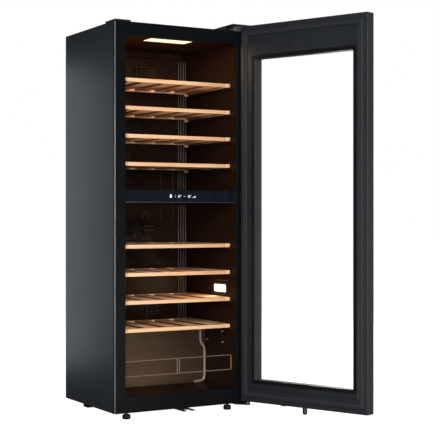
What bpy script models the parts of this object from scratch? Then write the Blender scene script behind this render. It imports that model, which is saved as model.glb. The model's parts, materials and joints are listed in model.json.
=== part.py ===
"""A tall, slim wine cooler with two temperature zones, its glass door standing open.

Metres, +Z up. The front faces -Y, and the door hinges on the right-hand side. Every piece is placed in
"cabinet coordinates": x from the cabinet's middle, y back from its front plane, z up from the floor.
The door's pieces are placed as they sit on the closed door, and its pivot then swings them open.
The last step slides the whole machine so that the middle of its footprint is at the origin.
"""

import math

import bmesh
import bpy
from mathutils import Matrix, Vector

# Driving sizes of the cabinet
CABINET_WIDTH = 0.480
CABINET_DEPTH = 0.394
CABINET_HEIGHT = 1.230
LEG = 0.023
GAP = 0.0003  # left between pieces that touch

SHEET = 0.001
SHEET_BEND = 0.0022  # outer radius of the folded top edges
PAN = 0.0012
CARRIER = 0.0022  # plate under the compressor
LINER_WALL = 0.002
SIDE_WALL = 0.038  # outside of the cabinet to the inside of the liner
TOP_WALL = 0.040
FLOOR_WALL = 0.045
BACK_WALL = 0.031
FRAME_DEPTH = 0.012
FRAME_LAP = 0.001  # how far the frame stops short of the liner at the sides
FRAME_TOP_LAP = 0.003
FRAME_BOTTOM_LAP = 0.006
OPENING_RADIUS = 0.010
FRAME_EDGE = 0.0010  # rounding of the front frame's and the door frame's edges

# Compressor bay and the hump that covers it
HUMP_DEPTH = 0.182  # from its face to the cabinet's back
HUMP_TOP = 0.238  # its height above the cabinet's underside
HUMP_FOAM = 0.032

# Zones and shelves, heights above the cabinet's underside
PARTITION_TOP = 0.702
PARTITION_HEIGHT = 0.039
UPPER_HEADROOM = 0.1315  # from the ceiling down to the top shelf
LOWER_HEADROOM = 0.1355  # from the partition down to the shelf under it
HUMP_ROOM = 0.0219  # from the hump up to the top of the lowest shelf
SHELVES_PER_ZONE = 4
SHELF_FRONT = 0.035
SHELF_SPACE = 0.016  # from a shelf back to the air duct
SHELF_CLEARANCE = 0.004
SHELF_THICK = 0.0123
SHELF_STRIP = 0.018
SHELF_RAIL = 0.020
SLAT_GAP = 0.026
SLAT_THICK = 0.008
SLATS = 5
RUNNER_REACH = 0.012
RUNNER_HEIGHT = 0.007
RUNNER_START = 0.008  # behind the front frame
PANEL_FRONT = 0.014
PANEL_DEPTH = 0.008
PANEL_GLASS_THICK = 0.002

# Air ducts on the back wall
DUCT_DEPTH = 0.026
DUCT_WALL = 0.002
DUCT_SIDE = 0.006
FAN_RADIUS = 0.036
FAN_DEPTH = 0.006
BLADES = 7
FAN_X = 0.0
LOWER_FAN_DROP = 0.0875  # from the lower duct's top to its fan's axis
GRILLE_PITCH = 0.010
GRILLE_SLOT = 0.006
VENT_LENGTH = 0.060
VENT_SLOT = 0.004
VENT_PITCH = 0.009
RIBS = 4
RIB_PITCH = 0.0095
RIB_WIDTH = 0.0036
RIB_RISE = 0.003
LINTEL_HEIGHT = 0.021
EVAPORATOR_SIDE = 0.052  # from the liner's wall
EVAPORATOR_RAISE = 0.020  # above the duct's lower edge
EVAPORATOR_DROP = 0.060  # below the fan's axis
FIN_COUNT = 16
FIN_THICK = 0.0022
FIN_ROOT = 0.003

# Door
DOOR_RAISE = 0.0112  # door's lower edge above the cabinet's
DOOR_OVER = 0.0116  # and its upper edge above the cabinet's top
DOOR_GAP = 0.006
DOOR_FRAME_THICK = 0.0357
OUTER_GLASS = 0.0038
INNER_GLASS = 0.0038
WINDOW_GRIP_MARGIN = 0.049
WINDOW_HINGE_MARGIN = 0.060
WINDOW_TOP_MARGIN = 0.1108
WINDOW_BOTTOM_MARGIN = 0.0743
POCKET_LAP = 0.012
GASKET_MARGIN = 0.0125
GASKET_WIDTH = 0.0160
GASKET_END_MARGIN = 0.0165
INNER_FRAME_MARGIN = 0.031
INNER_FRAME_TOP = 0.037
INNER_FRAME_BOTTOM = 0.045
INNER_FRAME_THICK = 0.0042
GRIP_WIDTH = 0.0084
GRIP_DEPTH = 0.014
GRIP_LIP = 0.0020
GRIP_END = 0.024
HINGE_INSET = 0.012  # hinge line in from the cabinet's side
HINGE_SET = 0.0147  # and behind the door frame's front
PIN_RADIUS = 0.0040
PIN_LENGTH = 0.016
BUSH_RADIUS = 0.0070
DOOR_OPEN = math.radians(112.5)

# Small fittings
FOOT_INSET = 0.055
FOOT_BACK = 0.032
FOOT_RADIUS = 0.0130
STEM_RADIUS = 0.0040
REAR_FOOT_SET = 0.094  # from the cabinet's back
LOCK_RADIUS = 0.0075
LOCK_DROP = 0.0230
PLUG_RADIUS = 0.0050
COVER_RISE = 0.0155
LAMP_MIDDLE = -0.018
LAMP_SIZE = (0.150, 0.058)
SIDE_LAMP_SIZE = (0.080, 0.031)
SIDE_LAMP_BACK = 0.109
SIDE_LAMP_HEIGHT = 0.3755
LAMP_BACK = 0.069
LAMP_CASE = 0.003  # wall of a lamp's housing around its lens
LAMP_RECESS = 0.012
GUARD_WIRE = 0.0016
GUARD_Y = 0.030
GUARD_LOW = 0.1095
GUARD_HIGH = 0.1575
GUARD_MIDDLE = 0.004  # half the gap between the two middle bars
COVER_WALL = 0.0016
COVER_LENGTH = 0.118
COVER_SLOPE = 0.042
COVER_DEPTH = 0.100
CAP_WIDTH = 0.056
CAP_DEPTH = 0.074
CAP_RISE = 0.0055
STRIKE_THICK = 0.0025
STRIKE_ROOT = 0.0225
STRIKE_TIP = 0.0170
STRIKE_SEAT = 0.020
HINGE_LEAF = 0.0018
HINGE_REACH = 0.033
BOSS_RADIUS = 0.0085
REAR_FOOT_WIDTH = 0.025
REAR_FOOT_INSET = 0.0475
GLIDE_X = 0.080  # from the door's middle towards its hinge
INNER_PANE_SET = 0.018  # inner pane's depth in the frame

# Compressor bay
COMPRESSOR_SIDE = 0.090  # its axis in from the cabinet's side
COMPRESSOR_HEIGHT = 0.145
CONDENSER_SIDE = 0.040
CONDENSER_TUBE = 0.0032
CONDENSER_ROWS = 7
CONDENSER_PITCH = 0.020
BAY_FAN_X = -0.060
BAY_FAN_RADIUS = 0.050
BAY_FAN_DEPTH = 0.012
BAY_FAN_HEIGHT = 0.080
BAY_FAN_BACK = 0.045  # behind the bay's front
INLET_SIDE = 0.065
INLET_HEIGHT = 0.045
INLET_SIZE = (0.028, 0.020)
INLET_BORE = 0.0045
SLOT_COLUMNS = (-0.105, 0.060)
SLOT_ROWS = 7
SLOT_ROW_PITCH = 0.018
SLOT_HALF = 0.055

# Sizes that follow from the ones above
HALF = CABINET_WIDTH / 2
FRAME_SIDE = SIDE_WALL - FRAME_LAP
FRAME_TOP = TOP_WALL + FRAME_TOP_LAP
FRAME_BOTTOM = FLOOR_WALL + FRAME_BOTTOM_LAP
BOTTOM = LEG
TOP = LEG + CABINET_HEIGHT
INSIDE = HALF - SIDE_WALL
CEILING = TOP - TOP_WALL
FLOOR = BOTTOM + FLOOR_WALL
BACK = CABINET_DEPTH - BACK_WALL
HUMP_Z = BOTTOM + HUMP_TOP
HUMP_FRONT = CABINET_DEPTH - HUMP_DEPTH
BAY_FRONT = HUMP_FRONT + LINER_WALL + HUMP_FOAM
BAY_TOP = HUMP_Z - LINER_WALL - HUMP_FOAM
PARTITION_Z = BOTTOM + PARTITION_TOP
DOOR_BOTTOM = BOTTOM + DOOR_RAISE
DOOR_TOP = TOP + DOOR_OVER
DOOR_BACK = -DOOR_GAP
DOOR_FRONT = DOOR_BACK - DOOR_FRAME_THICK
PIVOT = Vector((HALF - HINGE_INSET, DOOR_FRONT + HINGE_SET, 0))
WINDOW = (
    -HALF + WINDOW_GRIP_MARGIN,
    DOOR_BOTTOM + WINDOW_BOTTOM_MARGIN,
    HALF - WINDOW_HINGE_MARGIN,
    DOOR_TOP - WINDOW_TOP_MARGIN,
)
SHELF_HALF = INSIDE - SHELF_CLEARANCE
SLAT_PITCH = (2 * (SHELF_HALF - SHELF_RAIL) + SLAT_GAP) / SLATS
DUCT_FACE = BACK - DUCT_DEPTH
SHELF_BACK = DUCT_FACE - SHELF_SPACE
UPPER_PITCH = (CEILING - UPPER_HEADROOM - PARTITION_Z) / SHELVES_PER_ZONE
LOWER_SHELF_Z = PARTITION_Z - PARTITION_HEIGHT - LOWER_HEADROOM
LOWER_PITCH = (LOWER_SHELF_Z - HUMP_Z - HUMP_ROOM) / (SHELVES_PER_ZONE - 1)
UPPER_DUCT = (PARTITION_Z + GAP, CEILING - LINTEL_HEIGHT - 0.001)
LOWER_DUCT = (HUMP_Z + GAP, PARTITION_Z - PARTITION_HEIGHT - GAP)
UPPER_FAN_Z = (UPPER_DUCT[0] + UPPER_DUCT[1]) / 2
LOWER_FAN_Z = LOWER_DUCT[1] - LOWER_FAN_DROP
LOCK_Y = (DOOR_BACK + DOOR_FRONT) / 2
INNER_PANE_BACK = DOOR_BACK - INNER_PANE_SET
INNER_PANE_FRONT = INNER_PANE_BACK - INNER_GLASS
BAY_FLOOR = BOTTOM + CARRIER + GAP
COMPRESSOR_X = HALF - COMPRESSOR_SIDE
CONDENSER_X = -HALF + CONDENSER_SIDE
INLET_X = HALF - INLET_SIDE
REAR_FOOT_BACK = CABINET_DEPTH - REAR_FOOT_SET


# Scene, collections, groups and materials

for old in list(bpy.data.objects):
    bpy.data.objects.remove(old, do_unlink=True)

PARTS = bpy.data.collections.new("wine_cooler")
CUTTERS = bpy.data.collections.new("cutters")
bpy.context.scene.collection.children.link(PARTS)
bpy.context.scene.collection.children.link(CUTTERS)


def empty(name, place, parent=None):
    """A guide that other objects hang from."""
    guide = bpy.data.objects.new(name, None)
    guide.location = place
    guide.parent = parent
    PARTS.objects.link(guide)
    return guide


MACHINE = empty("machine", (0, 0, 0))
DOOR = empty("door_pivot", PIVOT, MACHINE)
DOOR.rotation_euler.z = DOOR_OPEN
ORIGINS = {MACHINE: Vector((0, 0, 0)), DOOR: PIVOT}


def material(name, colour, roughness, metallic=0.0, alpha=1.0):
    made = bpy.data.materials.new(name)
    made.use_nodes = True
    shader = made.node_tree.nodes["Principled BSDF"]
    shader.inputs["Base Color"].default_value = (*colour, 1)
    shader.inputs["Roughness"].default_value = roughness
    shader.inputs["Metallic"].default_value = metallic
    shader.inputs["Alpha"].default_value = alpha
    return made


ANTHRACITE = material("anthracite_steel", (0.055, 0.062, 0.070), 0.42, 0.3)
FRAME_BLACK = material("frame_black", (0.012, 0.014, 0.018), 0.40)
LINER = material("liner_plastic", (0.035, 0.026, 0.020), 0.45)
FOAM = material("insulation_foam", (0.72, 0.66, 0.42), 0.9)
GALVANISED = material("galvanised_steel", (0.45, 0.46, 0.47), 0.45, 0.9)
BEECH = material("beech", (0.72, 0.46, 0.26), 0.5)
WIRE = material("dark_wire", (0.05, 0.045, 0.04), 0.3, 0.8)
LENS = material("lamp_lens", (1.0, 0.90, 0.70), 0.3)
GLASS = material("clear_glass", (0.9, 0.95, 0.95), 0.05, 0.0, 0.2)
PANEL_GLASS = material("panel_glass", (0.008, 0.010, 0.022), 0.08)
RUBBER = material("gasket_rubber", (0.05, 0.052, 0.056), 0.7)
NYLON = material("nylon", (0.03, 0.03, 0.03), 0.5)
FINS = material("aluminium_fins", (0.75, 0.76, 0.78), 0.35, 1.0)
COPPER = material("copper_tube", (0.60, 0.28, 0.16), 0.35, 1.0)
CAST = material("compressor_black", (0.015, 0.015, 0.016), 0.35, 0.4)


# Modelling helpers


def place(obj, paint, at, group, helper=False):
    """Hangs an object on its group at a point given in cabinet coordinates."""
    obj.parent = group
    obj.location = Vector(at) - ORIGINS[group]
    if helper:
        CUTTERS.objects.link(obj)
        obj.hide_render = True
        obj.display_type = "WIRE"
        return obj
    PARTS.objects.link(obj)
    if paint:
        obj.data.materials.append(paint)
    return obj


def mesh_object(name, build):
    """A mesh object whose shape a function makes with bmesh."""
    mesh = bpy.data.meshes.new(name)
    shape = bmesh.new()
    build(shape)
    bmesh.ops.recalc_face_normals(shape, faces=shape.faces)
    shape.to_mesh(mesh)
    shape.free()
    return bpy.data.objects.new(name, mesh)


def box(name, low, high, paint=None, group=MACHINE, helper=False):
    """A block between two opposite corners."""
    low = Vector(low)
    high = Vector(high)
    size = high - low

    def build(shape):
        bmesh.ops.create_cube(shape, size=1)
        bmesh.ops.scale(shape, vec=size, verts=shape.verts)

    return place(mesh_object(name, build), paint, (low + high) / 2, group, helper)


def rod(name, foot, head, radius, paint=None, group=MACHINE, helper=False, sides=24):
    """A round bar from foot to head."""
    foot = Vector(foot)
    head = Vector(head)
    length = (head - foot).length
    turn = (head - foot).to_track_quat("Z", "Y")

    def build(shape):
        bmesh.ops.create_cone(
            shape, cap_ends=True, segments=sides, radius1=radius, radius2=radius, depth=length
        )

    obj = mesh_object(name, build)
    obj.rotation_euler = turn.to_euler()
    smooth(obj)
    return place(obj, paint, (foot + head) / 2, group, helper)


def smooth(obj):
    obj.data.shade_smooth()
    obj.data.set_sharp_from_angle(angle=math.radians(35))


def turned(name, profile, at, paint, group=MACHINE, sides=24):
    """A piece turned about +Z from (radius, height) pairs that run down its outer side."""
    mesh = bpy.data.meshes.new(name)
    points = [(radius, 0, height) for radius, height in profile]
    mesh.from_pydata(points, [(i, i + 1) for i in range(len(points) - 1)], [])
    obj = bpy.data.objects.new(name, mesh)
    screw = obj.modifiers.new("turn", "SCREW")
    screw.steps = screw.render_steps = sides
    screw.use_merge_vertices = True
    screw.merge_threshold = 0.0001
    return place(obj, paint, at, group)


def flat(name, loops, thickness, plane, at, paint=None, group=MACHINE, helper=False):
    """A sheet of constant thickness: its outlines lie in plane XY, XZ or YZ, and at is its middle."""
    curve = bpy.data.curves.new(name, "CURVE")
    curve.dimensions = "2D"
    curve.fill_mode = "BOTH"
    curve.extrude = thickness / 2
    for loop in loops:
        spline = curve.splines.new("POLY")
        spline.points.add(len(loop) - 1)
        for point, (u, v) in zip(spline.points, loop):
            point.co = (u, v, 0, 1)
        spline.use_cyclic_u = True
    quarter = math.pi / 2
    turns = {"XY": (0, 0, 0), "XZ": (quarter, 0, 0), "YZ": (quarter, 0, quarter)}
    obj = solid_from_curve(bpy.data.objects.new(name, curve))
    obj.rotation_euler = turns[plane]
    return place(obj, paint, at, group, helper)


def solid_from_curve(obj):
    """The curve's solid as a mesh with its caps welded on."""
    bpy.context.scene.collection.objects.link(obj)
    graph = bpy.context.evaluated_depsgraph_get()
    mesh = bpy.data.meshes.new_from_object(obj.evaluated_get(graph))
    shape = bmesh.new()
    shape.from_mesh(mesh)
    bmesh.ops.remove_doubles(shape, verts=shape.verts, dist=0.00002)
    bmesh.ops.recalc_face_normals(shape, faces=shape.faces)
    shape.to_mesh(mesh)
    shape.free()
    name = obj.name
    bpy.data.objects.remove(obj, do_unlink=True)
    mesh.materials.clear()
    return bpy.data.objects.new(name, mesh)


def tube(name, points, radius, paint=None, group=MACHINE, helper=False, closed=False, detail=2):
    """A round tube along a chain of points in cabinet coordinates."""
    curve = bpy.data.curves.new(name, "CURVE")
    curve.dimensions = "3D"
    curve.bevel_depth = radius
    curve.bevel_resolution = detail
    curve.use_fill_caps = True
    spline = curve.splines.new("POLY")
    spline.points.add(len(points) - 1)
    start = Vector(points[0])
    for point, at in zip(spline.points, points):
        point.co = (*(Vector(at) - start), 1)
    spline.use_cyclic_u = closed
    obj = solid_from_curve(bpy.data.objects.new(name, curve))
    smooth(obj)
    return place(obj, paint, start, group, helper)


def boolean(target, tool, operation):
    change = target.modifiers.new(tool.name, "BOOLEAN")
    change.operation = operation
    change.object = tool
    return target


def cut(target, tool):
    return boolean(target, tool, "DIFFERENCE")


def join(target, tool):
    return boolean(target, tool, "UNION")


def ease(obj, width, segments=1, angle=50):
    """Rounds an object's sharp edges."""
    bevel = obj.modifiers.new("eased_edges", "BEVEL")
    bevel.width = width
    bevel.segments = segments
    bevel.limit_method = "ANGLE"
    bevel.angle_limit = math.radians(angle)
    return obj


def arc(centre, radius, start, end, steps):
    """Points along a circle's arc, in degrees."""
    turns = [math.radians(start + (end - start) * i / steps) for i in range(steps + 1)]
    return [(centre[0] + radius * math.cos(t), centre[1] + radius * math.sin(t)) for t in turns]


def rounded(low_u, low_v, high_u, high_v, radius, steps=4):
    """A rectangle with round corners."""
    corners = [
        ((high_u - radius, high_v - radius), 0),
        ((low_u + radius, high_v - radius), 90),
        ((low_u + radius, low_v + radius), 180),
        ((high_u - radius, low_v + radius), 270),
    ]
    turns = [arc(centre, radius, start, start + 90, steps) for centre, start in corners]
    return [point for turn in turns for point in turn]


def rectangle(low_u, low_v, high_u, high_v):
    return [(low_u, low_v), (high_u, low_v), (high_u, high_v), (low_u, high_v)]


# Cabinet shell


def make_wrapper():
    """The folded sheet that makes both sides and the top."""
    bend = SHEET_BEND
    outline = [(HALF, BOTTOM)] + arc((HALF - bend, TOP - bend), bend, 0, 90, 3)
    outline += arc((-HALF + bend, TOP - bend), bend, 90, 180, 3) + [(-HALF, BOTTOM)]
    depth = CABINET_DEPTH - FRAME_DEPTH - GAP
    middle = (0, FRAME_DEPTH + GAP + depth / 2, 0)
    sheet = flat("outer_wrapper", [outline], depth, "XZ", middle, ANTHRACITE)
    inside = HALF - SHEET
    room = ((-inside, 0, 0), (inside, 2 * CABINET_DEPTH, TOP - SHEET))
    cut(sheet, box("wrapper_room", *room, helper=True))


def make_back_panel():
    """The sheet that closes the back, above the compressor bay."""
    half = HALF - SHEET - GAP
    low = (-half, CABINET_DEPTH - SHEET, BAY_TOP + PAN + GAP)
    box("back_panel", low, (half, CABINET_DEPTH, TOP - SHEET - GAP), GALVANISED)


def make_base_pan():
    """The stepped sheet under the foam: it runs under the cabinet, then up and over the compressor."""
    front = FRAME_DEPTH + GAP
    rear = CABINET_DEPTH - 2 * SHEET
    step = BAY_FRONT - PAN
    outline = [
        (front, BOTTOM),
        (BAY_FRONT, BOTTOM),
        (BAY_FRONT, BAY_TOP),
        (rear, BAY_TOP),
        (rear, BAY_TOP + PAN),
        (step, BAY_TOP + PAN),
        (step, BOTTOM + PAN),
        (front, BOTTOM + PAN),
    ]
    width = 2 * (HALF - SHEET - GAP)
    pan = flat("base_pan", [outline], width, "YZ", (0, 0, 0), GALVANISED)
    for side in (-1, 1):
        x = side * (HALF - FOOT_INSET)
        foot = (x, FOOT_BACK, BOTTOM - PAN)
        head = (x, FOOT_BACK, BOTTOM + 3 * PAN)
        cut(pan, rod(f"stem_hole_{side}", foot, head, STEM_RADIUS + GAP, helper=True))


def make_bay_floor():
    """The carrier plate that the compressor and the rear feet are fixed to."""
    half = HALF - SHEET - GAP
    low = (-half, BAY_FRONT + GAP, BOTTOM)
    box("bay_floor", low, (half, CABINET_DEPTH - 2 * SHEET, BOTTOM + CARRIER), GALVANISED)


def liner_profile(out):
    """The liner seen from the side, grown outwards by a margin."""
    front = FRAME_DEPTH + GAP
    return [
        (front, FLOOR - out),
        (HUMP_FRONT + out, FLOOR - out),
        (HUMP_FRONT + out, HUMP_Z - out),
        (BACK + out, HUMP_Z - out),
        (BACK + out, CEILING + out),
        (front, CEILING + out),
    ]


def make_liner():
    """The moulded inner box: two zones, the hump over the compressor, and the shelf runners."""
    wall = LINER_WALL
    body = flat("inner_liner", [liner_profile(wall)], 2 * (INSIDE + wall), "YZ", (0, 0, 0), LINER)
    inner = liner_profile(0)
    inner[0] = (0, FLOOR)
    inner[-1] = (0, CEILING)
    cut(body, flat("liner_cavity", [inner], 2 * INSIDE, "YZ", (0, 0, 0), helper=True))
    lap = wall / 2
    for number, top in enumerate(shelf_tops(), 1):
        for side in (-1, 1):
            wall_x = side * (INSIDE + lap)
            edge_x = side * (INSIDE - RUNNER_REACH)
            high = top - SHELF_THICK - GAP
            low_x, high_x = sorted((wall_x, edge_x))
            low = (low_x, FRAME_DEPTH + RUNNER_START, high - RUNNER_HEIGHT)
            rear = (high_x, SHELF_BACK - RUNNER_HEIGHT, high)
            join(body, box(f"runner_{number}_{side}", low, rear, helper=True))
    make_lamp_holes(body)


def lamp_box(grow, low_z, high_z):
    """The ceiling lamp's plan, grown by a margin, between two heights."""
    half_x = LAMP_SIZE[0] / 2 + grow
    half_y = LAMP_SIZE[1] / 2 + grow
    return (
        (LAMP_MIDDLE - half_x, LAMP_BACK - half_y, low_z),
        (LAMP_MIDDLE + half_x, LAMP_BACK + half_y, high_z),
    )


def side_lamp_box(grow, low_x, high_x):
    """The side lamp's outline on the right wall, grown by a margin, between two depths in x."""
    half_y = SIDE_LAMP_SIZE[0] / 2 + grow
    half_z = SIDE_LAMP_SIZE[1] / 2 + grow
    z = BOTTOM + SIDE_LAMP_HEIGHT
    return (low_x, SIDE_LAMP_BACK - half_y, z - half_z), (high_x, SIDE_LAMP_BACK + half_y, z + half_z)


def make_lamp_holes(body):
    low, high = lamp_box(LAMP_CASE + GAP, CEILING - LINER_WALL, CEILING + 2 * LINER_WALL)
    cut(body, box("ceiling_lamp_hole", low, high, helper=True))
    low, high = side_lamp_box(LAMP_CASE + GAP, INSIDE - LINER_WALL, INSIDE + 2 * LINER_WALL)
    cut(body, box("side_lamp_hole", low, high, helper=True))


def make_lamps():
    """A flush lamp in the ceiling and one in the right wall: each a tray with a diffusing lens."""
    deep = CEILING + LAMP_RECESS
    tray = box("ceiling_lamp_housing", *lamp_box(LAMP_CASE, CEILING - 0.0008, deep), NYLON)
    cut(tray, box("ceiling_lamp_well", *lamp_box(GAP, CEILING - 0.01, deep - 0.002), helper=True))
    lens = box("ceiling_lamp_lens", *lamp_box(0, CEILING - 0.0012, CEILING + 0.003), LENS)
    ease(lens, 0.0008)
    deep = INSIDE + LAMP_RECESS
    tray = box("side_lamp_housing", *side_lamp_box(LAMP_CASE, INSIDE - 0.0008, deep), NYLON)
    cut(tray, box("side_lamp_well", *side_lamp_box(GAP, INSIDE - 0.01, deep - 0.002), helper=True))
    lens = box("side_lamp_lens", *side_lamp_box(0, INSIDE - 0.0014, INSIDE + 0.003), LENS)
    ease(lens, 0.0012, 2)


def make_foam():
    """The foam that fills the space between the sheet shell and the liner."""
    half = HALF - SHEET - GAP
    front = FRAME_DEPTH + GAP
    rear = CABINET_DEPTH - SHEET - GAP
    low = (-half, front, BOTTOM + PAN + GAP)
    block = box("foam_insulation", low, (half, rear, TOP - SHEET - GAP), FOAM)
    out = LINER_WALL + GAP
    room = liner_profile(out)
    room[0] = (0, FLOOR - out)
    room[-1] = (0, CEILING + out)
    cut(block, flat("liner_room", [room], 2 * (INSIDE + out), "YZ", (0, 0, 0), helper=True))
    bay_low = (-HALF, BAY_FRONT - PAN - GAP, 0)
    cut(block, box("bay_room", bay_low, (HALF, CABINET_DEPTH * 2, BAY_TOP + PAN + GAP), helper=True))
    low, high = lamp_box(LAMP_CASE + GAP, CEILING - 0.01, CEILING + LAMP_RECESS + GAP)
    cut(block, box("ceiling_lamp_room", low, high, helper=True))
    low, high = side_lamp_box(LAMP_CASE + GAP, INSIDE - 0.01, INSIDE + LAMP_RECESS + GAP)
    cut(block, box("side_lamp_room", low, high, helper=True))
    for side in (-1, 1):
        x = side * (HALF - FOOT_INSET)
        hole = (x, FOOT_BACK, BOTTOM)
        head = (x, FOOT_BACK, BOTTOM + 0.016)
        cut(block, rod(f"stem_room_{side}", hole, head, STEM_RADIUS + GAP, helper=True))


def make_front_frame():
    """The flange around the mouth of the cabinet, which the door's gasket closes on."""
    outer = rectangle(-HALF, BOTTOM, HALF, TOP)
    mouth = rounded(
        -HALF + FRAME_SIDE, BOTTOM + FRAME_BOTTOM, HALF - FRAME_SIDE, TOP - FRAME_TOP, OPENING_RADIUS
    )
    frame = flat("front_frame", [outer, mouth], FRAME_DEPTH, "XZ", (0, FRAME_DEPTH / 2, 0), FRAME_BLACK)
    ease(frame, FRAME_EDGE, 2, 60)


# Zones, control panel and air ducts


def make_partition():
    """The insulated wall between the zones, with the control panel on its front edge."""
    low_z = PARTITION_Z - PARTITION_HEIGHT
    half = INSIDE - GAP
    front = PANEL_FRONT
    rear = front + PANEL_DEPTH
    box("partition", (-half, rear + GAP, low_z), (half, BACK - GAP, PARTITION_Z), LINER)
    panel = box("control_panel", (-half, front, low_z), (half, rear, PARTITION_Z), NYLON)
    ease(panel, 0.0012)
    glass_half = half - 0.0002
    glass_front = front - GAP - PANEL_GLASS_THICK
    glass = box(
        "control_glass",
        (-glass_half, glass_front, low_z + 0.001),
        (glass_half, front - GAP, PARTITION_Z - 0.001),
        PANEL_GLASS,
    )
    ease(glass, 0.0005)


def make_duct_cover(name, low_z, high_z, fan_z, vents):
    """A moulded cover over an evaporator: hollow behind, with a round fan grille and rows of vents."""
    half = INSIDE - DUCT_SIDE
    rear = BACK - GAP
    cover = box(name, (-half, DUCT_FACE, low_z), (half, rear, high_z), LINER)
    wall = DUCT_WALL
    well_low = (-half + wall, DUCT_FACE + wall, low_z + wall)
    cut(cover, box(f"{name}_well", well_low, (half - wall, rear + wall, high_z - wall), helper=True))
    through = (DUCT_FACE - 0.002, DUCT_FACE + 2 * wall)
    rows = int(FAN_RADIUS / GRILLE_PITCH)
    for row in range(-rows, rows + 1):
        z = fan_z + row * GRILLE_PITCH
        reach = math.sqrt(FAN_RADIUS**2 - (row * GRILLE_PITCH) ** 2) - 2 * wall
        low = (FAN_X - reach, through[0], z - GRILLE_SLOT / 2)
        high = (FAN_X + reach, through[1], z + GRILLE_SLOT / 2)
        cut(cover, box(f"{name}_grille_{row}", low, high, helper=True))
    for number, (x, z) in enumerate(vents):
        low = (x - VENT_LENGTH / 2, through[0], z - VENT_SLOT / 2)
        high = (x + VENT_LENGTH / 2, through[1], z + VENT_SLOT / 2)
        cut(cover, box(f"{name}_vent_{number}", low, high, helper=True))
    for number in range(RIBS):
        x = half - RIB_PITCH * (RIBS - number - 0.5)
        low = (x - RIB_WIDTH / 2, DUCT_FACE - RIB_RISE, low_z + 2 * wall)
        high = (x + RIB_WIDTH / 2, DUCT_FACE + wall / 2, high_z - 2 * wall)
        join(cover, box(f"{name}_rib_{number}", low, high, helper=True))


def vent_rows(x, z, rows):
    return [(x, z - VENT_PITCH * row) for row in range(rows)]


def make_ducts():
    upper_vents = vent_rows(0.015, UPPER_DUCT[1] - 0.040, 6)
    upper_vents += vent_rows(-0.12, UPPER_DUCT[0] + 0.075, 5)
    make_duct_cover("upper_duct_cover", *UPPER_DUCT, UPPER_FAN_Z, upper_vents)
    lower_vents = vent_rows(-0.10, LOWER_DUCT[1] - 0.045, 5)
    lower_vents += vent_rows(0.06, LOWER_DUCT[0] + 0.075, 5)
    make_duct_cover("lower_duct_cover", *LOWER_DUCT, LOWER_FAN_Z, lower_vents)
    low = (-INSIDE + GAP, DUCT_FACE - 0.012, CEILING - LINTEL_HEIGHT)
    lintel = box("duct_lintel", low, (INSIDE - 0.030, BACK - GAP, CEILING - GAP), LINER)
    ease(lintel, 0.003, 2)


def slab(name, size):
    """A thin block about its own middle, ready to be turned."""

    def build(shape):
        bmesh.ops.create_cube(shape, size=1)
        bmesh.ops.scale(shape, vec=size, verts=shape.verts)

    return mesh_object(name, build)


def fan_rotor(name, at, axis_y, radius, depth, paint):
    """A hub with blades, spinning about an axis along Y."""
    face = (at[0], axis_y, at[2])
    hub = rod(name, face, (at[0], axis_y + depth, at[2]), radius * 0.36, paint, sides=20)
    for blade in range(BLADES):
        turn = 2 * math.pi * blade / BLADES
        chord = radius * 0.42
        helper = slab(f"{name}_blade_{blade}", (radius * 0.68, 0.0014, chord))
        reach = radius * 0.64
        x = at[0] + reach * math.cos(turn)
        middle = Vector((x, axis_y + depth / 2, at[2] + reach * math.sin(turn)))
        twist = Matrix.Rotation(math.asin(depth * 0.6 / chord), 4, "X")
        helper.rotation_euler = (Matrix.Rotation(-turn, 4, "Y") @ twist).to_euler()
        place(helper, None, middle, MACHINE, helper=True)
        join(hub, helper)
    return hub


def fan_motor(name, at, face_y, depth, arm, paint):
    """The motor behind a fan, on a three-armed spider."""
    body = rod(name, (at[0], face_y, at[2]), (at[0], face_y + depth, at[2]), 0.013, paint, sides=20)
    for leg in range(3):
        turn = math.radians(90 + 120 * leg)
        helper = slab(f"{name}_arm_{leg}", (arm, 0.0025, 0.006))
        helper.rotation_euler.y = -turn
        x = at[0] + arm / 2 * math.cos(turn)
        z = at[2] + arm / 2 * math.sin(turn)
        place(helper, None, (x, face_y + depth - 0.0015, z), MACHINE, helper=True)
        join(body, helper)
    return body


def make_fans():
    """Each zone's fan and motor behind its duct cover."""
    for zone, z in (("upper", UPPER_FAN_Z), ("lower", LOWER_FAN_Z)):
        at = (FAN_X, 0, z)
        front = DUCT_FACE + DUCT_WALL + 0.002
        fan_rotor(f"{zone}_fan", at, front, FAN_RADIUS, FAN_DEPTH, NYLON)
        motor_front = front + FAN_DEPTH + 0.0012
        depth = BACK - 2 * GAP - motor_front
        fan_motor(f"{zone}_fan_motor", at, motor_front, depth, FAN_RADIUS + 0.008, NYLON)


def make_evaporator(name, low_z, high_z, x_low, x_high):
    """A block of upright fins on a plate, behind the duct cover."""
    face = DUCT_FACE + DUCT_WALL + 0.003
    rear = BACK - 2 * GAP
    plate = FIN_ROOT
    pitch = (x_high - x_low) / FIN_COUNT
    comb = [(x_low, rear), (x_high, rear)]
    for fin in reversed(range(FIN_COUNT)):
        left = x_low + fin * pitch
        right = left + FIN_THICK
        if fin < FIN_COUNT - 1:
            comb.append((right, rear - plate))
        else:
            comb.append((x_high, rear - plate))
            comb.append((right, rear - plate))
        comb += [(right, face), (left, face)]
        if fin:
            comb.append((left, rear - plate))
    flat(name, [comb], high_z - low_z, "XY", (0, 0, (low_z + high_z) / 2), FINS)


def make_evaporators():
    reach = INSIDE - EVAPORATOR_SIDE
    for zone, duct, fan_z in (("upper", UPPER_DUCT, UPPER_FAN_Z), ("lower", LOWER_DUCT, LOWER_FAN_Z)):
        low = duct[0] + EVAPORATOR_RAISE
        make_evaporator(f"{zone}_evaporator", low, fan_z - EVAPORATOR_DROP, -reach, reach)


# Shelves and bottle guard


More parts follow.
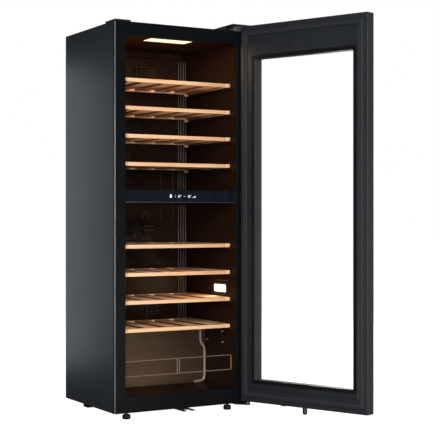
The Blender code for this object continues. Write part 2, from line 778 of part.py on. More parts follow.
def shelf_tops():
    """Heights of the shelves' upper faces, from the top shelf down."""
    tops = [CEILING - UPPER_HEADROOM - UPPER_PITCH * i for i in range(SHELVES_PER_ZONE)]
    return tops + [LOWER_SHELF_Z - LOWER_PITCH * i for i in range(SHELVES_PER_ZONE)]


def make_shelf(number, top):
    """A beech shelf: a frame of four strips with slats that run from front to back."""
    name = f"shelf_{number}"
    low_z = top - SHELF_THICK
    front = SHELF_FRONT
    shelf = box(name, (-SHELF_HALF, front, low_z), (SHELF_HALF, front + SHELF_STRIP, top), BEECH)
    lap = 0.001
    rear_low = (-SHELF_HALF, SHELF_BACK - SHELF_STRIP, low_z)
    join(shelf, box(f"{name}_rear", rear_low, (SHELF_HALF, SHELF_BACK, top - 0.0005), helper=True))
    for side in (-1, 1):
        low_x, high_x = sorted((side * (SHELF_HALF - 0.0002), side * (SHELF_HALF - SHELF_RAIL)))
        low = (low_x, front + SHELF_STRIP - lap, low_z + 0.0005)
        high = (high_x, SHELF_BACK - SHELF_STRIP + lap, top - 0.001)
        join(shelf, box(f"{name}_rail_{side}", low, high, helper=True))
    slat_top = top - 0.0015
    edge = SHELF_HALF - SHELF_RAIL + lap
    for slat in range(SLATS):
        middle = (slat - (SLATS - 1) / 2) * SLAT_PITCH
        half = (SLAT_PITCH - SLAT_GAP) / 2
        low_x = -edge if slat == 0 else middle - half
        high_x = edge if slat == SLATS - 1 else middle + half
        low = (low_x, front + SHELF_STRIP - lap, slat_top - SLAT_THICK)
        high = (high_x, SHELF_BACK - SHELF_STRIP + lap, slat_top)
        join(shelf, box(f"{name}_slat_{slat}", low, high, helper=True))
    return shelf


def make_shelves():
    for number, top in enumerate(shelf_tops(), 1):
        make_shelf(number, top)


def make_bottle_guard():
    """The wire fence at the mouth of the bottom compartment: two loops side by side."""
    wire = GUARD_WIRE
    low_z = BOTTOM + GUARD_LOW
    high_z = BOTTOM + GUARD_HIGH
    half = INSIDE - wire - 0.002
    loop = rounded(-half, low_z, half, high_z, OPENING_RADIUS, 3)
    points = [(x, GUARD_Y, z) for x, z in loop]
    guard = tube("bottle_guard", points, wire, WIRE, closed=True)
    weld = wire / 4
    for name, x in (("left", -GUARD_MIDDLE), ("right", GUARD_MIDDLE)):
        foot = (x, GUARD_Y, low_z - weld)
        head = (x, GUARD_Y, high_z + weld)
        join(guard, rod(f"guard_bar_{name}", foot, head, wire * 0.85, helper=True, sides=10))


# Machine compartment


def make_compressor():
    """The sealed compressor: a squat can on a foot plate."""
    z = BAY_FLOOR
    at = (COMPRESSOR_X, (BAY_FRONT + CABINET_DEPTH) / 2 - LINER_WALL, z)
    high = COMPRESSOR_HEIGHT
    can = [(0, high), (0.025, high - 0.002), (0.046, high - 0.011), (0.057, high - 0.030)]
    can += [(0.060, high - 0.050)]
    can += [(0.060, 0.050), (0.056, 0.028), (0.044, 0.014), (0.040, 0.004), (0.0, 0.004)]
    body = turned("compressor", can, at, CAST)
    foot = (0.062, 0.045, 0.008)
    low = (at[0] - foot[0], at[1] - foot[1], z)
    high = (at[0] + foot[0], at[1] + foot[1], z + foot[2])
    join(body, box("compressor_foot", low, high, helper=True))


def make_condenser():
    """The condenser: one long tube folded back and forth beside its fan."""
    y_low = BAY_FRONT + CONDENSER_PITCH
    y_high = CABINET_DEPTH - 0.030
    turn = CONDENSER_PITCH / 2
    points = []
    for row in range(CONDENSER_ROWS):
        z = BOTTOM + 0.022 + row * CONDENSER_PITCH
        start, end = (y_low, y_high) if row % 2 == 0 else (y_high, y_low)
        inward = math.copysign(turn, end - start)
        points.append((CONDENSER_X, start + inward, z))
        points.append((CONDENSER_X, end - inward, z))
        points.append((CONDENSER_X, end, z + turn))
    tube("condenser", points[:-1], CONDENSER_TUBE, COPPER, detail=1)


def make_bay_fan():
    """The fan that draws air through the compressor bay."""
    at = (BAY_FAN_X, 0, BOTTOM + BAY_FAN_HEIGHT)
    axis_y = BAY_FRONT + BAY_FAN_BACK
    fan_rotor("condenser_fan", at, axis_y, BAY_FAN_RADIUS, BAY_FAN_DEPTH, NYLON)
    motor_y = axis_y + BAY_FAN_DEPTH + 0.002
    motor_depth = 2 * BAY_FAN_DEPTH
    body = fan_motor("condenser_fan_motor", at, motor_y, motor_depth, BAY_FAN_RADIUS + 0.010, CAST)
    post_y = motor_y + motor_depth
    post_low = (at[0] - 0.012, post_y - 0.004, BAY_FLOOR)
    join(body, box("fan_post", post_low, (at[0] + 0.012, post_y, at[2]), helper=True))


def make_bay_boxes():
    """The controller's box and the tray that catches melt water, both high in the bay."""
    low = (-0.150, BAY_FRONT + 0.004, BAY_TOP - 0.060)
    box("power_box", low, (-0.120, CABINET_DEPTH - 0.020, BAY_TOP - 0.004), NYLON)
    tray_z = BAY_FLOOR + COMPRESSOR_HEIGHT + 0.001
    tray_low = (COMPRESSOR_X - 0.070, BAY_FRONT + 0.010, tray_z)
    tray_high = (COMPRESSOR_X + 0.070, CABINET_DEPTH - 0.012, BAY_TOP - 0.008)
    tray = box("drip_tray", tray_low, tray_high, NYLON)
    wall = Vector((0.002, 0.002, 0.002))
    well_high = Vector(tray_high) + Vector((-wall.x, -wall.y, wall.z * 3))
    cut(tray, box("tray_well", Vector(tray_low) + wall, well_high, helper=True))


def make_bay_cover():
    """The slotted plate over the back of the compressor bay, with the inlet for the mains lead."""
    half = HALF - SHEET - GAP
    low = (-half, CABINET_DEPTH - SHEET, BOTTOM + 0.001)
    cover = box("compressor_cover", low, (half, CABINET_DEPTH + 0.0005, BAY_TOP + PAN), FRAME_BLACK)
    for column, x in enumerate(SLOT_COLUMNS):
        for row in range(SLOT_ROWS):
            z = BOTTOM + 0.040 + row * SLOT_ROW_PITCH
            slot_low = (x - SLOT_HALF, CABINET_DEPTH - 0.01, z - 0.0035)
            slot_high = (x + SLOT_HALF, CABINET_DEPTH + 0.01, z + 0.0035)
            cut(cover, box(f"cover_slot_{column}_{row}", slot_low, slot_high, helper=True))
    half_x = INLET_SIZE[0] / 2
    half_z = INLET_SIZE[1] / 2
    z = BOTTOM + INLET_HEIGHT
    hole_low = (INLET_X - half_x - GAP, CABINET_DEPTH - 0.01, z - half_z - GAP)
    hole_high = (INLET_X + half_x + GAP, CABINET_DEPTH + 0.01, z + half_z + GAP)
    cut(cover, box("inlet_hole", hole_low, hole_high, helper=True))
    inlet_low = (INLET_X - half_x, CABINET_DEPTH - 0.008, z - half_z)
    inlet_high = (INLET_X + half_x, CABINET_DEPTH + 0.004, z + half_z)
    inlet = box("mains_inlet", inlet_low, inlet_high, NYLON)
    foot = (INLET_X, CABINET_DEPTH - 0.004, z)
    head = (INLET_X, CABINET_DEPTH + 0.01, z)
    cut(inlet, rod("inlet_bore", foot, head, INLET_BORE, helper=True, sides=16))


# Feet, lock plate, hinges and caps on the cabinet


def make_feet():
    """Two levelling feet on threaded stems in front, and two ramped blocks behind."""
    stem_top = BOTTOM + 0.014
    cap = 0.0150
    for side, name in ((-1, "left"), (1, "right")):
        x = side * (HALF - FOOT_INSET)
        profile = [(0, stem_top), (STEM_RADIUS, stem_top), (STEM_RADIUS, cap + 0.001), (0.0085, cap)]
        profile += [(FOOT_RADIUS - 0.001, cap - 0.001), (FOOT_RADIUS, cap - 0.003)]
        profile += [(FOOT_RADIUS, 0.002), (FOOT_RADIUS - 0.0015, 0), (0, 0)]
        turned(f"front_foot_{name}", profile, (x, FOOT_BACK, 0), NYLON)
        rear_x = side * (HALF - REAR_FOOT_INSET)
        high = BOTTOM - GAP
        outline = [
            (REAR_FOOT_BACK - 0.030, high),
            (REAR_FOOT_BACK - 0.012, 0.004),
            (REAR_FOOT_BACK - 0.008, 0),
            (REAR_FOOT_BACK + 0.022, 0),
            (REAR_FOOT_BACK + 0.025, 0.003),
            (REAR_FOOT_BACK + 0.025, high),
        ]
        flat(f"rear_foot_{name}", [outline], REAR_FOOT_WIDTH, "YZ", (rear_x, 0, 0), NYLON)


def make_strike_plate():
    """The forked steel tongue under the door's middle, which the lock's barrel closes into."""
    slot = LOCK_RADIUS + 0.0020
    flare = STRIKE_TIP + slot / 2
    front = DOOR_FRONT - OUTER_GLASS
    outline = [(-STRIKE_ROOT, STRIKE_SEAT), (-STRIKE_ROOT, 0), (-flare, front)]
    outline += [(-slot, front), (-slot, LOCK_Y)]
    outline += arc((0, LOCK_Y), slot, 180, 0, 6)[1:-1]
    outline += [(slot, LOCK_Y), (slot, front), (flare, front)]
    outline += [(STRIKE_ROOT, 0), (STRIKE_ROOT, STRIKE_SEAT)]
    middle = (0, 0, BOTTOM - GAP - STRIKE_THICK / 2)
    flat("strike_plate", [outline], STRIKE_THICK, "XY", middle, ANTHRACITE)


def hinge_plate(name, low_z, high_z, back_y, paint):
    """A flat hinge leaf that reaches from the cabinet out to the door's pivot."""
    reach = HINGE_INSET - 0.0025
    left = PIVOT.x - HINGE_REACH
    outline = [(HALF - 0.002, back_y), (left, back_y), (left, -0.004)]
    outline += arc((PIVOT.x, PIVOT.y), reach, 200, 360, 6)
    outline += [(HALF - 0.002, PIVOT.y + reach)]
    middle = (0, 0, (low_z + high_z) / 2)
    return flat(name, [outline], high_z - low_z, "XY", middle, paint)


def make_hinges():
    """Top and bottom hinge leaves with their pins, and the cover over the top one."""
    leaf = HINGE_LEAF
    low = DOOR_TOP + GAP
    top = hinge_plate("top_hinge", low, low + leaf, 0.056, GALVANISED)
    pin_foot = (PIVOT.x, PIVOT.y, DOOR_TOP - PIN_LENGTH)
    join(top, rod("top_pin", pin_foot, (PIVOT.x, PIVOT.y, low + leaf / 2), PIN_RADIUS, helper=True))
    riser_low = (PIVOT.x - 0.030, 0.006, TOP + GAP)
    join(top, box("hinge_riser", riser_low, (HALF - 0.004, 0.052, low + leaf / 2), helper=True))
    high = BOTTOM - GAP
    bottom = hinge_plate("bottom_hinge", high - 0.0030, high, 0.046, ANTHRACITE)
    boss_top = DOOR_BOTTOM - GAP
    boss_foot = (PIVOT.x, PIVOT.y, high - 0.001)
    join(bottom, rod("hinge_boss", boss_foot, (PIVOT.x, PIVOT.y, boss_top), BOSS_RADIUS, helper=True))
    pin_head = (PIVOT.x, PIVOT.y, DOOR_BOTTOM + PIN_LENGTH)
    pin_foot = (PIVOT.x, PIVOT.y, boss_top - 0.002)
    join(bottom, rod("bottom_pin", pin_foot, pin_head, PIN_RADIUS, helper=True))
    make_hinge_cover(low + leaf)


def make_hinge_cover(inner_top):
    """The plastic cap over the top hinge: it sits on the cabinet and overhangs the door."""
    wall = COVER_WALL
    left = HALF - COVER_LENGTH
    slope = COVER_SLOPE
    high = TOP + COVER_RISE
    outline = [(left, TOP + GAP), (HALF, TOP + GAP), (HALF, high), (left + slope, high)]
    outline += [(left, TOP + GAP + 0.001)]
    depth = COVER_DEPTH
    front = PIVOT.y - 0.015
    middle = (0, front + depth / 2, 0)
    cover = flat("top_hinge_cover", [outline], depth, "XZ", middle, FRAME_BLACK)
    room = rectangle(left + slope, TOP - 0.01, HALF - wall, high - wall)
    cut(cover, flat("hinge_room", [room], depth - 2 * wall, "XZ", middle, helper=True))
    door_low = (left - 0.01, front - 0.01, TOP - 0.01)
    cut(cover, box("door_sweep", door_low, (HALF + 0.01, 0.001, DOOR_TOP + GAP), helper=True))


def make_corner_cap():
    """The thin cap over the other front corner of the top."""
    low = (-HALF, 0.0005, TOP + GAP)
    cap = box("corner_cap", low, (-HALF + CAP_WIDTH, CAP_DEPTH, TOP + CAP_RISE), FRAME_BLACK)
    ease(cap, 0.0018, 2)


# Door


def ring(name, outer, inner, low_y, high_y, paint, inner_radius=0.004):
    """An upright rectangular frame between two depths."""
    loops = [rectangle(*outer), rounded(*inner, inner_radius)]
    middle = (0, (low_y + high_y) / 2, 0)
    return flat(name, loops, high_y - low_y, "XZ", middle, paint, DOOR)


def inset(margins):
    """The door's outline brought in by left, bottom, right and top margins."""
    left, bottom, right_in, top = margins
    return (-HALF + left, DOOR_BOTTOM + bottom, HALF - right_in, DOOR_TOP - top)


def make_door_frame():
    """The thick frame: window, glass pocket, finger groove, hinge bores and lock bore."""
    frame = ring("door_frame", inset((0, 0, 0, 0)), WINDOW, DOOR_FRONT, DOOR_BACK, FRAME_BLACK, 0.005)
    ease(frame, FRAME_EDGE, 2, 60)
    lap = POCKET_LAP
    low = (WINDOW[0] - lap, DOOR_FRONT - 0.01, WINDOW[1] - lap)
    high = (WINDOW[2] + lap, INNER_PANE_BACK + GAP, WINDOW[3] + lap)
    cut(frame, box("glass_pocket", low, high, group=DOOR, helper=True))
    groove_low = (-HALF + GRIP_LIP, DOOR_BACK - GRIP_DEPTH, DOOR_BOTTOM + GRIP_END)
    groove_high = (-HALF + GRIP_LIP + GRIP_WIDTH, DOOR_BACK + 0.01, DOOR_TOP - GRIP_END)
    cut(frame, box("finger_groove", groove_low, groove_high, group=DOOR, helper=True))
    reach = PIN_LENGTH + 0.004
    for end, foot, head in (
        ("top", DOOR_TOP - reach, DOOR_TOP + 0.01),
        ("bottom", DOOR_BOTTOM - 0.01, DOOR_BOTTOM + reach),
    ):
        hole = rod(
            f"{end}_hinge_bore",
            (PIVOT.x, PIVOT.y, foot),
            (PIVOT.x, PIVOT.y, head),
            BUSH_RADIUS + GAP,
            group=DOOR,
            helper=True,
        )
        cut(frame, hole)
    lock_head = (0, LOCK_Y, DOOR_BOTTOM + 0.012)
    bore = LOCK_RADIUS + GAP
    cut(frame, rod("lock_bore", (0, LOCK_Y, 0), lock_head, bore, group=DOOR, helper=True))


def make_panes():
    """The outer pane that covers the whole door, the inner pane, and the spacer between them."""
    edge = 0.0008
    outer_low = (-HALF + edge, DOOR_FRONT - GAP - OUTER_GLASS, DOOR_BOTTOM + edge)
    outer_high = (HALF - edge, DOOR_FRONT - GAP, DOOR_TOP - edge)
    pane = box("outer_glass", outer_low, outer_high, GLASS, DOOR)
    ease(pane, 0.0008)
    lap = POCKET_LAP - GAP
    inner_low = (WINDOW[0] - lap, INNER_PANE_FRONT, WINDOW[1] - lap)
    box("inner_glass", inner_low, (WINDOW[2] + lap, INNER_PANE_BACK, WINDOW[3] + lap), GLASS, DOOR)
    outer = (WINDOW[0] - lap, WINDOW[1] - lap, WINDOW[2] + lap, WINDOW[3] + lap)
    hide = 0.001
    inner = (WINDOW[0] - hide, WINDOW[1] - hide, WINDOW[2] + hide, WINDOW[3] + hide)
    ring("glass_spacer", outer, inner, DOOR_FRONT, INNER_PANE_FRONT - GAP, FINS, 0.002)


def make_door_inside():
    """The magnetic gasket, and the raised frame inside it."""
    side = GASKET_MARGIN
    end = GASKET_END_MARGIN
    width = GASKET_WIDTH
    outer = inset((side, end, side, end))
    inner = inset((side + width, end + width, side + width, end + width))
    ring("door_gasket", outer, inner, DOOR_BACK + GAP, -GAP, RUBBER, 0.003)
    border = inset((INNER_FRAME_MARGIN, INNER_FRAME_BOTTOM, INNER_FRAME_MARGIN, INNER_FRAME_TOP))
    high = DOOR_BACK + GAP + INNER_FRAME_THICK
    raised = ring("door_inner_frame", border, WINDOW, DOOR_BACK + GAP, high, FRAME_BLACK, 0.005)
    ease(raised, 0.0008, 1, 60)


def make_door_fittings():
    """Hinge bushes, the lock, and the glide that lifts the door as it closes."""
    for end, low, high in (
        ("top", DOOR_TOP - PIN_LENGTH - 0.002, DOOR_TOP),
        ("bottom", DOOR_BOTTOM, DOOR_BOTTOM + PIN_LENGTH + 0.002),
    ):
        foot = (PIVOT.x, PIVOT.y, low)
        bush = rod(f"{end}_hinge_bush", foot, (PIVOT.x, PIVOT.y, high), BUSH_RADIUS, NYLON, DOOR)
        bore = rod(
            f"{end}_bush_bore",
            (PIVOT.x, PIVOT.y, low - 0.01),
            (PIVOT.x, PIVOT.y, high + 0.01),
            PIN_RADIUS + GAP,
            group=DOOR,
            helper=True,
        )
        cut(bush, bore)
    low = DOOR_BOTTOM - LOCK_DROP
    head = DOOR_BOTTOM + 0.010
    radius = LOCK_RADIUS
    profile = [(0, head), (radius, head), (radius, low + 0.004), (radius - 0.0012, low + 0.0012)]
    profile += [(radius - 0.002, low), (0, low)]
    barrel = turned("lock_barrel", profile, (0, LOCK_Y, 0), GALVANISED, DOOR, sides=20)
    well_foot = (0, LOCK_Y, low - 0.01)
    well_head = (0, LOCK_Y, head - 0.004)
    bore = PLUG_RADIUS + GAP
    cut(barrel, rod("plug_bore", well_foot, well_head, bore, group=DOOR, helper=True))
    plug_foot = (0, LOCK_Y, low + 0.0005)
    plug = rod("lock_plug", plug_foot, (0, LOCK_Y, head - 0.006), PLUG_RADIUS, GALVANISED, DOOR)
    slot_low = (-0.003, LOCK_Y - 0.0006, low - 0.001)
    slot_high = (0.003, LOCK_Y + 0.0006, low + 0.010)
    cut(plug, box("key_slot", slot_low, slot_high, group=DOOR, helper=True))
    dome = [(0, 0), (0.012, 0), (0.0105, -0.0022), (0.007, -0.0038), (0, -0.0044)]
    turned("door_glide", dome, (GLIDE_X, LOCK_Y, DOOR_BOTTOM - GAP), NYLON, DOOR, sides=16)


def centre_on_floor():
    """Slides the machine so that the middle of its footprint is at the origin, feet at z = 0."""
    bpy.context.view_layer.update()
    graph = bpy.context.evaluated_depsgraph_get()
    corners = []
    for obj in PARTS.objects:
        if obj.type == "MESH":
            ready = obj.evaluated_get(graph)
            corners += [ready.matrix_world @ vertex.co for vertex in ready.data.vertices]
    low = Vector([min(corner[axis] for corner in corners) for axis in range(3)])
    high = Vector([max(corner[axis] for corner in corners) for axis in range(3)])
    middle = (low + high) / 2
    MACHINE.location = (-middle.x, -middle.y, -low.z)


def main():
    make_wrapper()
    make_back_panel()
    make_base_pan()
    make_bay_floor()
    make_liner()
    make_foam()
    make_front_frame()
    make_lamps()
    make_partition()
    make_ducts()
    make_fans()
    make_evaporators()
    make_shelves()
    make_bottle_guard()
    make_compressor()
    make_condenser()
    make_bay_fan()
    make_bay_boxes()
    make_bay_cover()
    make_feet()
    make_strike_plate()
    make_hinges()
    make_corner_cap()
    make_door_frame()
    make_panes()
    make_door_inside()
    make_door_fittings()
    centre_on_floor()


main()
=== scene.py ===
# %% [markdown]
# # A tall wine cooler with its glass door standing open
# The cooler's solid parts are already built and jointed, so this lesson gives them their looks. We load the
# fixed frame, set up the camera and a soft studio, mix one finish for each real material, and then build
# the small shapes that make a machine look made: eased edges, ribs, wires, boards with their own grain.

# %% Load the fixed frame
import json
import math
import random

import bmesh
import bpy
from mathutils import Matrix, Vector


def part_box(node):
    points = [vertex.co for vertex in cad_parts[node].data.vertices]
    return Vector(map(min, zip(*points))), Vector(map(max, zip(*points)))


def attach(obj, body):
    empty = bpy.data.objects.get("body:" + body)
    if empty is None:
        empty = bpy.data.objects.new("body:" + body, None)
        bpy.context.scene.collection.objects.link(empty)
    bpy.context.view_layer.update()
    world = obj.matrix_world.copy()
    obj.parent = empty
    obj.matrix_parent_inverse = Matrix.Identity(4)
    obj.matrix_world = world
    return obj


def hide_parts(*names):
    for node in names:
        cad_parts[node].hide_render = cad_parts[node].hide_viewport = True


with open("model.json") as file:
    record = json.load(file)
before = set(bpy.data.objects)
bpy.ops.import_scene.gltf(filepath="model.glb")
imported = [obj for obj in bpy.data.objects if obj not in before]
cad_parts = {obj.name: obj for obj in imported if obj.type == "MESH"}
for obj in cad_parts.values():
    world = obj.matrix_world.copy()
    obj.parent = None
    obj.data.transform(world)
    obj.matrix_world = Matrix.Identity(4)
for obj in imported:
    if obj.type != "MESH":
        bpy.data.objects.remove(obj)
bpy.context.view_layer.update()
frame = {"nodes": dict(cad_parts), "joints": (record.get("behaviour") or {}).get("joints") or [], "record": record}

# %% [markdown]
# ## Where things are
# A cabinet maker measures from the middle of the cabinet, back from its front plane and up from the floor.
# The front frame's own box says where those are, so nothing here repeats a position that the solids hold.
# Pieces of the door are drawn as they sit on the closed door, then turned by the angle it stands open.

# %% Places on the cabinet and on the door
frame_low, frame_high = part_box("front_frame")
MIDDLE_X = (frame_low.x + frame_high.x) / 2
FRONT_Y = frame_low.y


def spot(x, y, z):
    """A point given from the cabinet's middle, back from its front plane, up from the floor."""
    return Vector((MIDDLE_X + x, FRONT_Y + y, z))


swing = next(joint for joint in frame["joints"] if joint["name"] == "door_swing")
pivot = Vector(swing["pos_m"])
open_angle = math.radians(-swing["range_deg"][0])
DOOR_TURN = Matrix.Translation(pivot) @ Matrix.Rotation(open_angle, 4, "Z") @ Matrix.Translation(-pivot)
print("front plane y", round(FRONT_Y, 4), "middle x", round(MIDDLE_X, 4), "door open", swing["range_deg"][0])

# %% [markdown]
# ## Camera
# A long lens keeps the cooler's uprights parallel and its boards nearly straight. The camera is level, a
# little above half height, and turned to the right, so it sees the left side, the lit inside and the back
# of the open door. A very small shift sets the horizon without tilting the uprights.

# %% Set up the camera
LENS_MM = 96.66
CAMERA_PLACE = (-1.8053, -3.3504, 0.643)
CAMERA_YAW = 30.126
HORIZON_SHIFT = -0.0098

camera_data = bpy.data.cameras.new("camera")
camera_data.lens = LENS_MM
camera_data.shift_y = HORIZON_SHIFT
camera = bpy.data.objects.new("camera", camera_data)
camera.location = spot(*CAMERA_PLACE)
camera.rotation_euler = (math.radians(90), 0, math.radians(-CAMERA_YAW))
bpy.context.scene.collection.objects.link(camera)
bpy.context.scene.camera = camera
bpy.context.scene.view_settings.view_transform = "Standard"
print("camera at", [round(value, 3) for value in camera.location])

# %% [markdown]
# ## Writing shader maths as plain sums
# A finish varies from point to point, and each variation is a small sum of noises. Building those sums
# by hand takes a node for every sign. This class wraps a node's output so that `1 - mask` or `grain * 0.3`
# adds the Math node itself, which keeps the recipes below as short as they would be on paper.

# %% A socket that can be added, multiplied and compared


class Wire:
    """A node's output, used like a number."""

    def __init__(self, finish, socket):
        self.finish = finish
        self.socket = socket

    def worked(self, operation, first, second):
        return self.finish.node("Math", {0: first, 1: second}, operation=operation)

    def __add__(self, other):
        return self.worked("ADD", self, other)

    def __sub__(self, other):
        return self.worked("SUBTRACT", self, other)

    def __rsub__(self, other):
        return self.worked("SUBTRACT", other, self)

    def __mul__(self, other):
        return self.worked("MULTIPLY", self, other)

    def over(self, edge):
        return self.worked("GREATER_THAN", self, edge)

    __radd__ = __add__
    __rmul__ = __mul__


print("a wire understands +, -, * and over")

# %% A finish: one shader and one way to add any other node


FINISHES = {}


class Finish:
    """A material in the making."""

    def __init__(self, name, **sockets):
        self.name = name
        self.material = bpy.data.materials.new(name)
        self.material.use_nodes = True
        self.tree = self.material.node_tree
        self.shader = self.tree.nodes["Principled BSDF"]
        self.feed(**sockets)

    def plug(self, socket, value):
        if isinstance(value, Wire):
            self.tree.links.new(value.socket, socket)
        elif isinstance(value, tuple) and len(value) == 3 and socket.type == "RGBA":
            socket.default_value = (*value, 1)
        else:
            socket.default_value = value

    def feed(self, **sockets):
        """Sets or links the shader's sockets, named with _ for each space."""
        for name, value in sockets.items():
            self.plug(self.shader.inputs[name.replace("_", " ")], value)
        return self

    def node(self, kind, inputs, output=0, stops=(), **settings):
        """Adds a node: its settings come first, then the values or links of its sockets."""
        made = self.tree.nodes.new("ShaderNode" + kind)
        for name, value in settings.items():
            setattr(made, name, value)
        for element, (position, colour) in zip(made.color_ramp.elements if stops else (), stops):
            element.position = position
            element.color = (*colour, 1)
        for name, value in inputs.items():
            self.plug(made.inputs[name], value)
        return Wire(self, made.outputs[output])

    def place(self):
        return self.node("TexCoord", {}, output="Object")

    def stretched(self, where, scale):
        return self.node("VectorMath", {0: where, 1: scale}, operation="MULTIPLY")

    def noise(self, where, scale, detail=3.0):
        return self.node("TexNoise", {"Vector": where, "Scale": scale, "Detail": detail})

    def mix(self, mask, first, second):
        """Blends two colours: 6, 7 and output 2 are the Mix node's colour sockets."""
        return self.node("Mix", {0: mask, 6: first, 7: second}, output=2, data_type="RGBA")

    def bump(self, height, depth):
        return self.node("Bump", {"Height": height, "Distance": depth, "Strength": 1.0})

    def part(self, where, axis):
        return self.node("SeparateXYZ", {0: where}, output=axis)

    def done(self):
        """Files the finish under its name, where the pieces will look for it."""
        FINISHES[self.name] = self.material


print("a finish can", [name for name in vars(Finish) if not name.startswith("_")])

# %% [markdown]
# ## Coated steel
# The two sides and the top are one folded sheet with a baked coat. The coat has a fine orange peel that
# only shows in a reflection, and its gloss drifts a little over the height of the panel. Two noises do it:
# one very fine for the bump, one as wide as a hand for the gloss.

# %% Mix the coated steel
PATCH_SCALE = 7.0
PEEL_SCALE = 900.0
PEEL_DEPTH = 0.00006


def coated_steel(name, dark, light, gloss):
    finish = Finish(name, Metallic=0.25, Coat_Weight=0.08, Coat_Roughness=0.3)
    where = finish.place()
    drift = finish.noise(where, PATCH_SCALE)
    peel = finish.noise(where, PEEL_SCALE, 2.0)
    finish.feed(
        Base_Color=finish.mix(drift, dark, light),
        Roughness=drift * 0.10 + gloss,
        Normal=finish.bump(peel, PEEL_DEPTH),
    )
    finish.done()


coated_steel("side_sheet", (0.0205, 0.0252, 0.0318), (0.0252, 0.0312, 0.0388), 0.38)
coated_steel("wire", (0.16, 0.12, 0.085), (0.24, 0.18, 0.13), 0.30)
print("finishes mixed:", list(FINISHES))

# %% [markdown]
# ## Bare metals
# The back panel is zinc-coated, and zinc sets in flat crystals, each a little lighter or darker than the
# next. Cells with one tone each draw them, and a noise stretched along the height adds the marks of rolling.
# The same recipe with other colours and cell sizes serves the lock, the coil's fins and the copper.

# %% Mix the bare metals
ROLLING = (1200.0, 1200.0, 40.0)
ROLLING_DEPTH = 0.00004


def bare_metal(name, dark, light, gloss, cell):
    finish = Finish(name, Metallic=0.9)
    where = finish.place()
    spangle = finish.node("TexVoronoi", {"Vector": where, "Scale": cell}, output="Color")
    tone = finish.part(spangle, 0)
    scratch = finish.noise(finish.stretched(where, ROLLING), 1.0)
    finish.feed(
        Base_Color=finish.mix(tone, dark, light),
        Roughness=tone * 0.15 + scratch * 0.12 + gloss,
        Normal=finish.bump(scratch, ROLLING_DEPTH),
    )
    finish.done()


bare_metal("galvanised", (0.42, 0.43, 0.44), (0.60, 0.61, 0.62), 0.28, 90.0)
bare_metal("lock_steel", (0.030, 0.030, 0.034), (0.050, 0.050, 0.055), 0.25, 300.0)
bare_metal("fins", (0.10, 0.10, 0.11), (0.16, 0.16, 0.17), 0.30, 220.0)
bare_metal("copper", (0.42, 0.19, 0.10), (0.62, 0.31, 0.18), 0.26, 60.0)
print("finishes mixed:", list(FINISHES)[-4:])

# %% [markdown]
# ## Moulded plastics
# Frame, liner, caps and feet are moulded. A mould leaves a fine leather grain, and handling leaves the
# gloss uneven. The same recipe serves them all with its own colour, gloss and grain depth.

# %% Mix the moulded plastics
DRIFT_SCALE = 11.0
DRIFT_GLOSS = 0.14


def moulded(name, dark, light, gloss, grain_size=1500.0, grain_depth=0.00005, shine=0.40):
    finish = Finish(name, Specular_IOR_Level=shine)
    where = finish.place()
    drift = finish.noise(where, DRIFT_SCALE)
    pebble = finish.node("TexVoronoi", {"Vector": where, "Scale": grain_size}, output="Distance")
    finish.feed(
        Base_Color=finish.mix(drift, dark, light),
        Roughness=drift * DRIFT_GLOSS + gloss,
        Normal=finish.bump(pebble, grain_depth),
    )
    finish.done()


moulded("frame_black", (0.0085, 0.0105, 0.0140), (0.0120, 0.0145, 0.0190), 0.36)
# A darker copy of the black plastic: painted shade for the front frame round the opening.
moulded("shaded_mouth_black", (0.0022, 0.0030, 0.0042), (0.0034, 0.0044, 0.0058), 0.34, shine=0.09)
moulded("liner", (0.0120, 0.0048, 0.0019), (0.0175, 0.0074, 0.0032), 0.34, shine=0.12)
moulded("nylon", (0.0035, 0.0036, 0.0040), (0.0070, 0.0072, 0.0080), 0.44, shine=0.22)
moulded("cover_black", (0.010, 0.011, 0.014), (0.016, 0.018, 0.022), 0.38)
moulded("gasket", (0.0100, 0.0118, 0.0145), (0.0160, 0.0185, 0.0220), 0.60, 700.0, shine=0.28)
moulded("cast_black", (0.008, 0.008, 0.009), (0.016, 0.016, 0.018), 0.28, 500.0, 0.0002)
moulded("foam", (0.55, 0.49, 0.30), (0.78, 0.72, 0.48), 0.80, 260.0, 0.0012)
print("finishes mixed:", list(FINISHES)[-8:])

# %% [markdown]
# ## Beech
# Each board of a shelf is cut from the length of a plank, so its grain runs along it. The boards will carry
# their own coordinates in an attribute named grain: x runs along the board, and y and z across it. Long
# noise gives the annual rings, short dark dashes give the flecks that tell beech from pine. Every face that
# looks sideways along x takes a deep brown, a painted shade for the dark gaps between the slats.

# %% Mix the beech
RING_STRETCH = (7.0, 130.0, 130.0)
FLECK_STRETCH = (150.0, 1400.0, 1400.0)
PORE_STRETCH = (60.0, 3000.0, 3000.0)
FLECK_FROM = 0.66
# Deep brown for the sideways faces: a painted shade for the gaps between slats.
GAP_SHADE_BROWN = (0.060, 0.026, 0.012)
PORE_DEPTH = 0.00012


def beech_wood():
    finish = Finish("beech", Specular_IOR_Level=0.35, Coat_Weight=0.08, Coat_Roughness=0.35)
    along = finish.node("Attribute", {}, output="Vector", attribute_name="grain")
    rings = finish.noise(finish.stretched(along, RING_STRETCH), 1.0, 4.0)
    flecks = finish.noise(finish.stretched(along, FLECK_STRETCH), 1.0, 1.0)
    pores = finish.noise(finish.stretched(along, PORE_STRETCH), 1.0, 2.0)
    tone = finish.node(
        "ValToRGB",
        {0: rings},
        stops=((0.30, (0.60, 0.340, 0.180)), (0.72, (0.80, 0.520, 0.315))),
    )
    fleck = flecks.over(FLECK_FROM)
    # Faces that look along x take the painted shade of the gaps between slats.
    sideways = finish.part(finish.node("TexCoord", {}, output="Normal"), 0)
    gap_shade = (sideways * sideways).over(0.5)
    wood = finish.mix(fleck * 0.35, tone, (0.40, 0.20, 0.10))
    finish.feed(
        Base_Color=finish.mix(gap_shade, wood, GAP_SHADE_BROWN),
        Roughness=pores * 0.22 + 0.36,
        Normal=finish.bump(pores + fleck * 0.6, PORE_DEPTH),
    )
    finish.done()


beech_wood()
print("beech mixed, nodes:", len(FINISHES["beech"].node_tree.nodes))

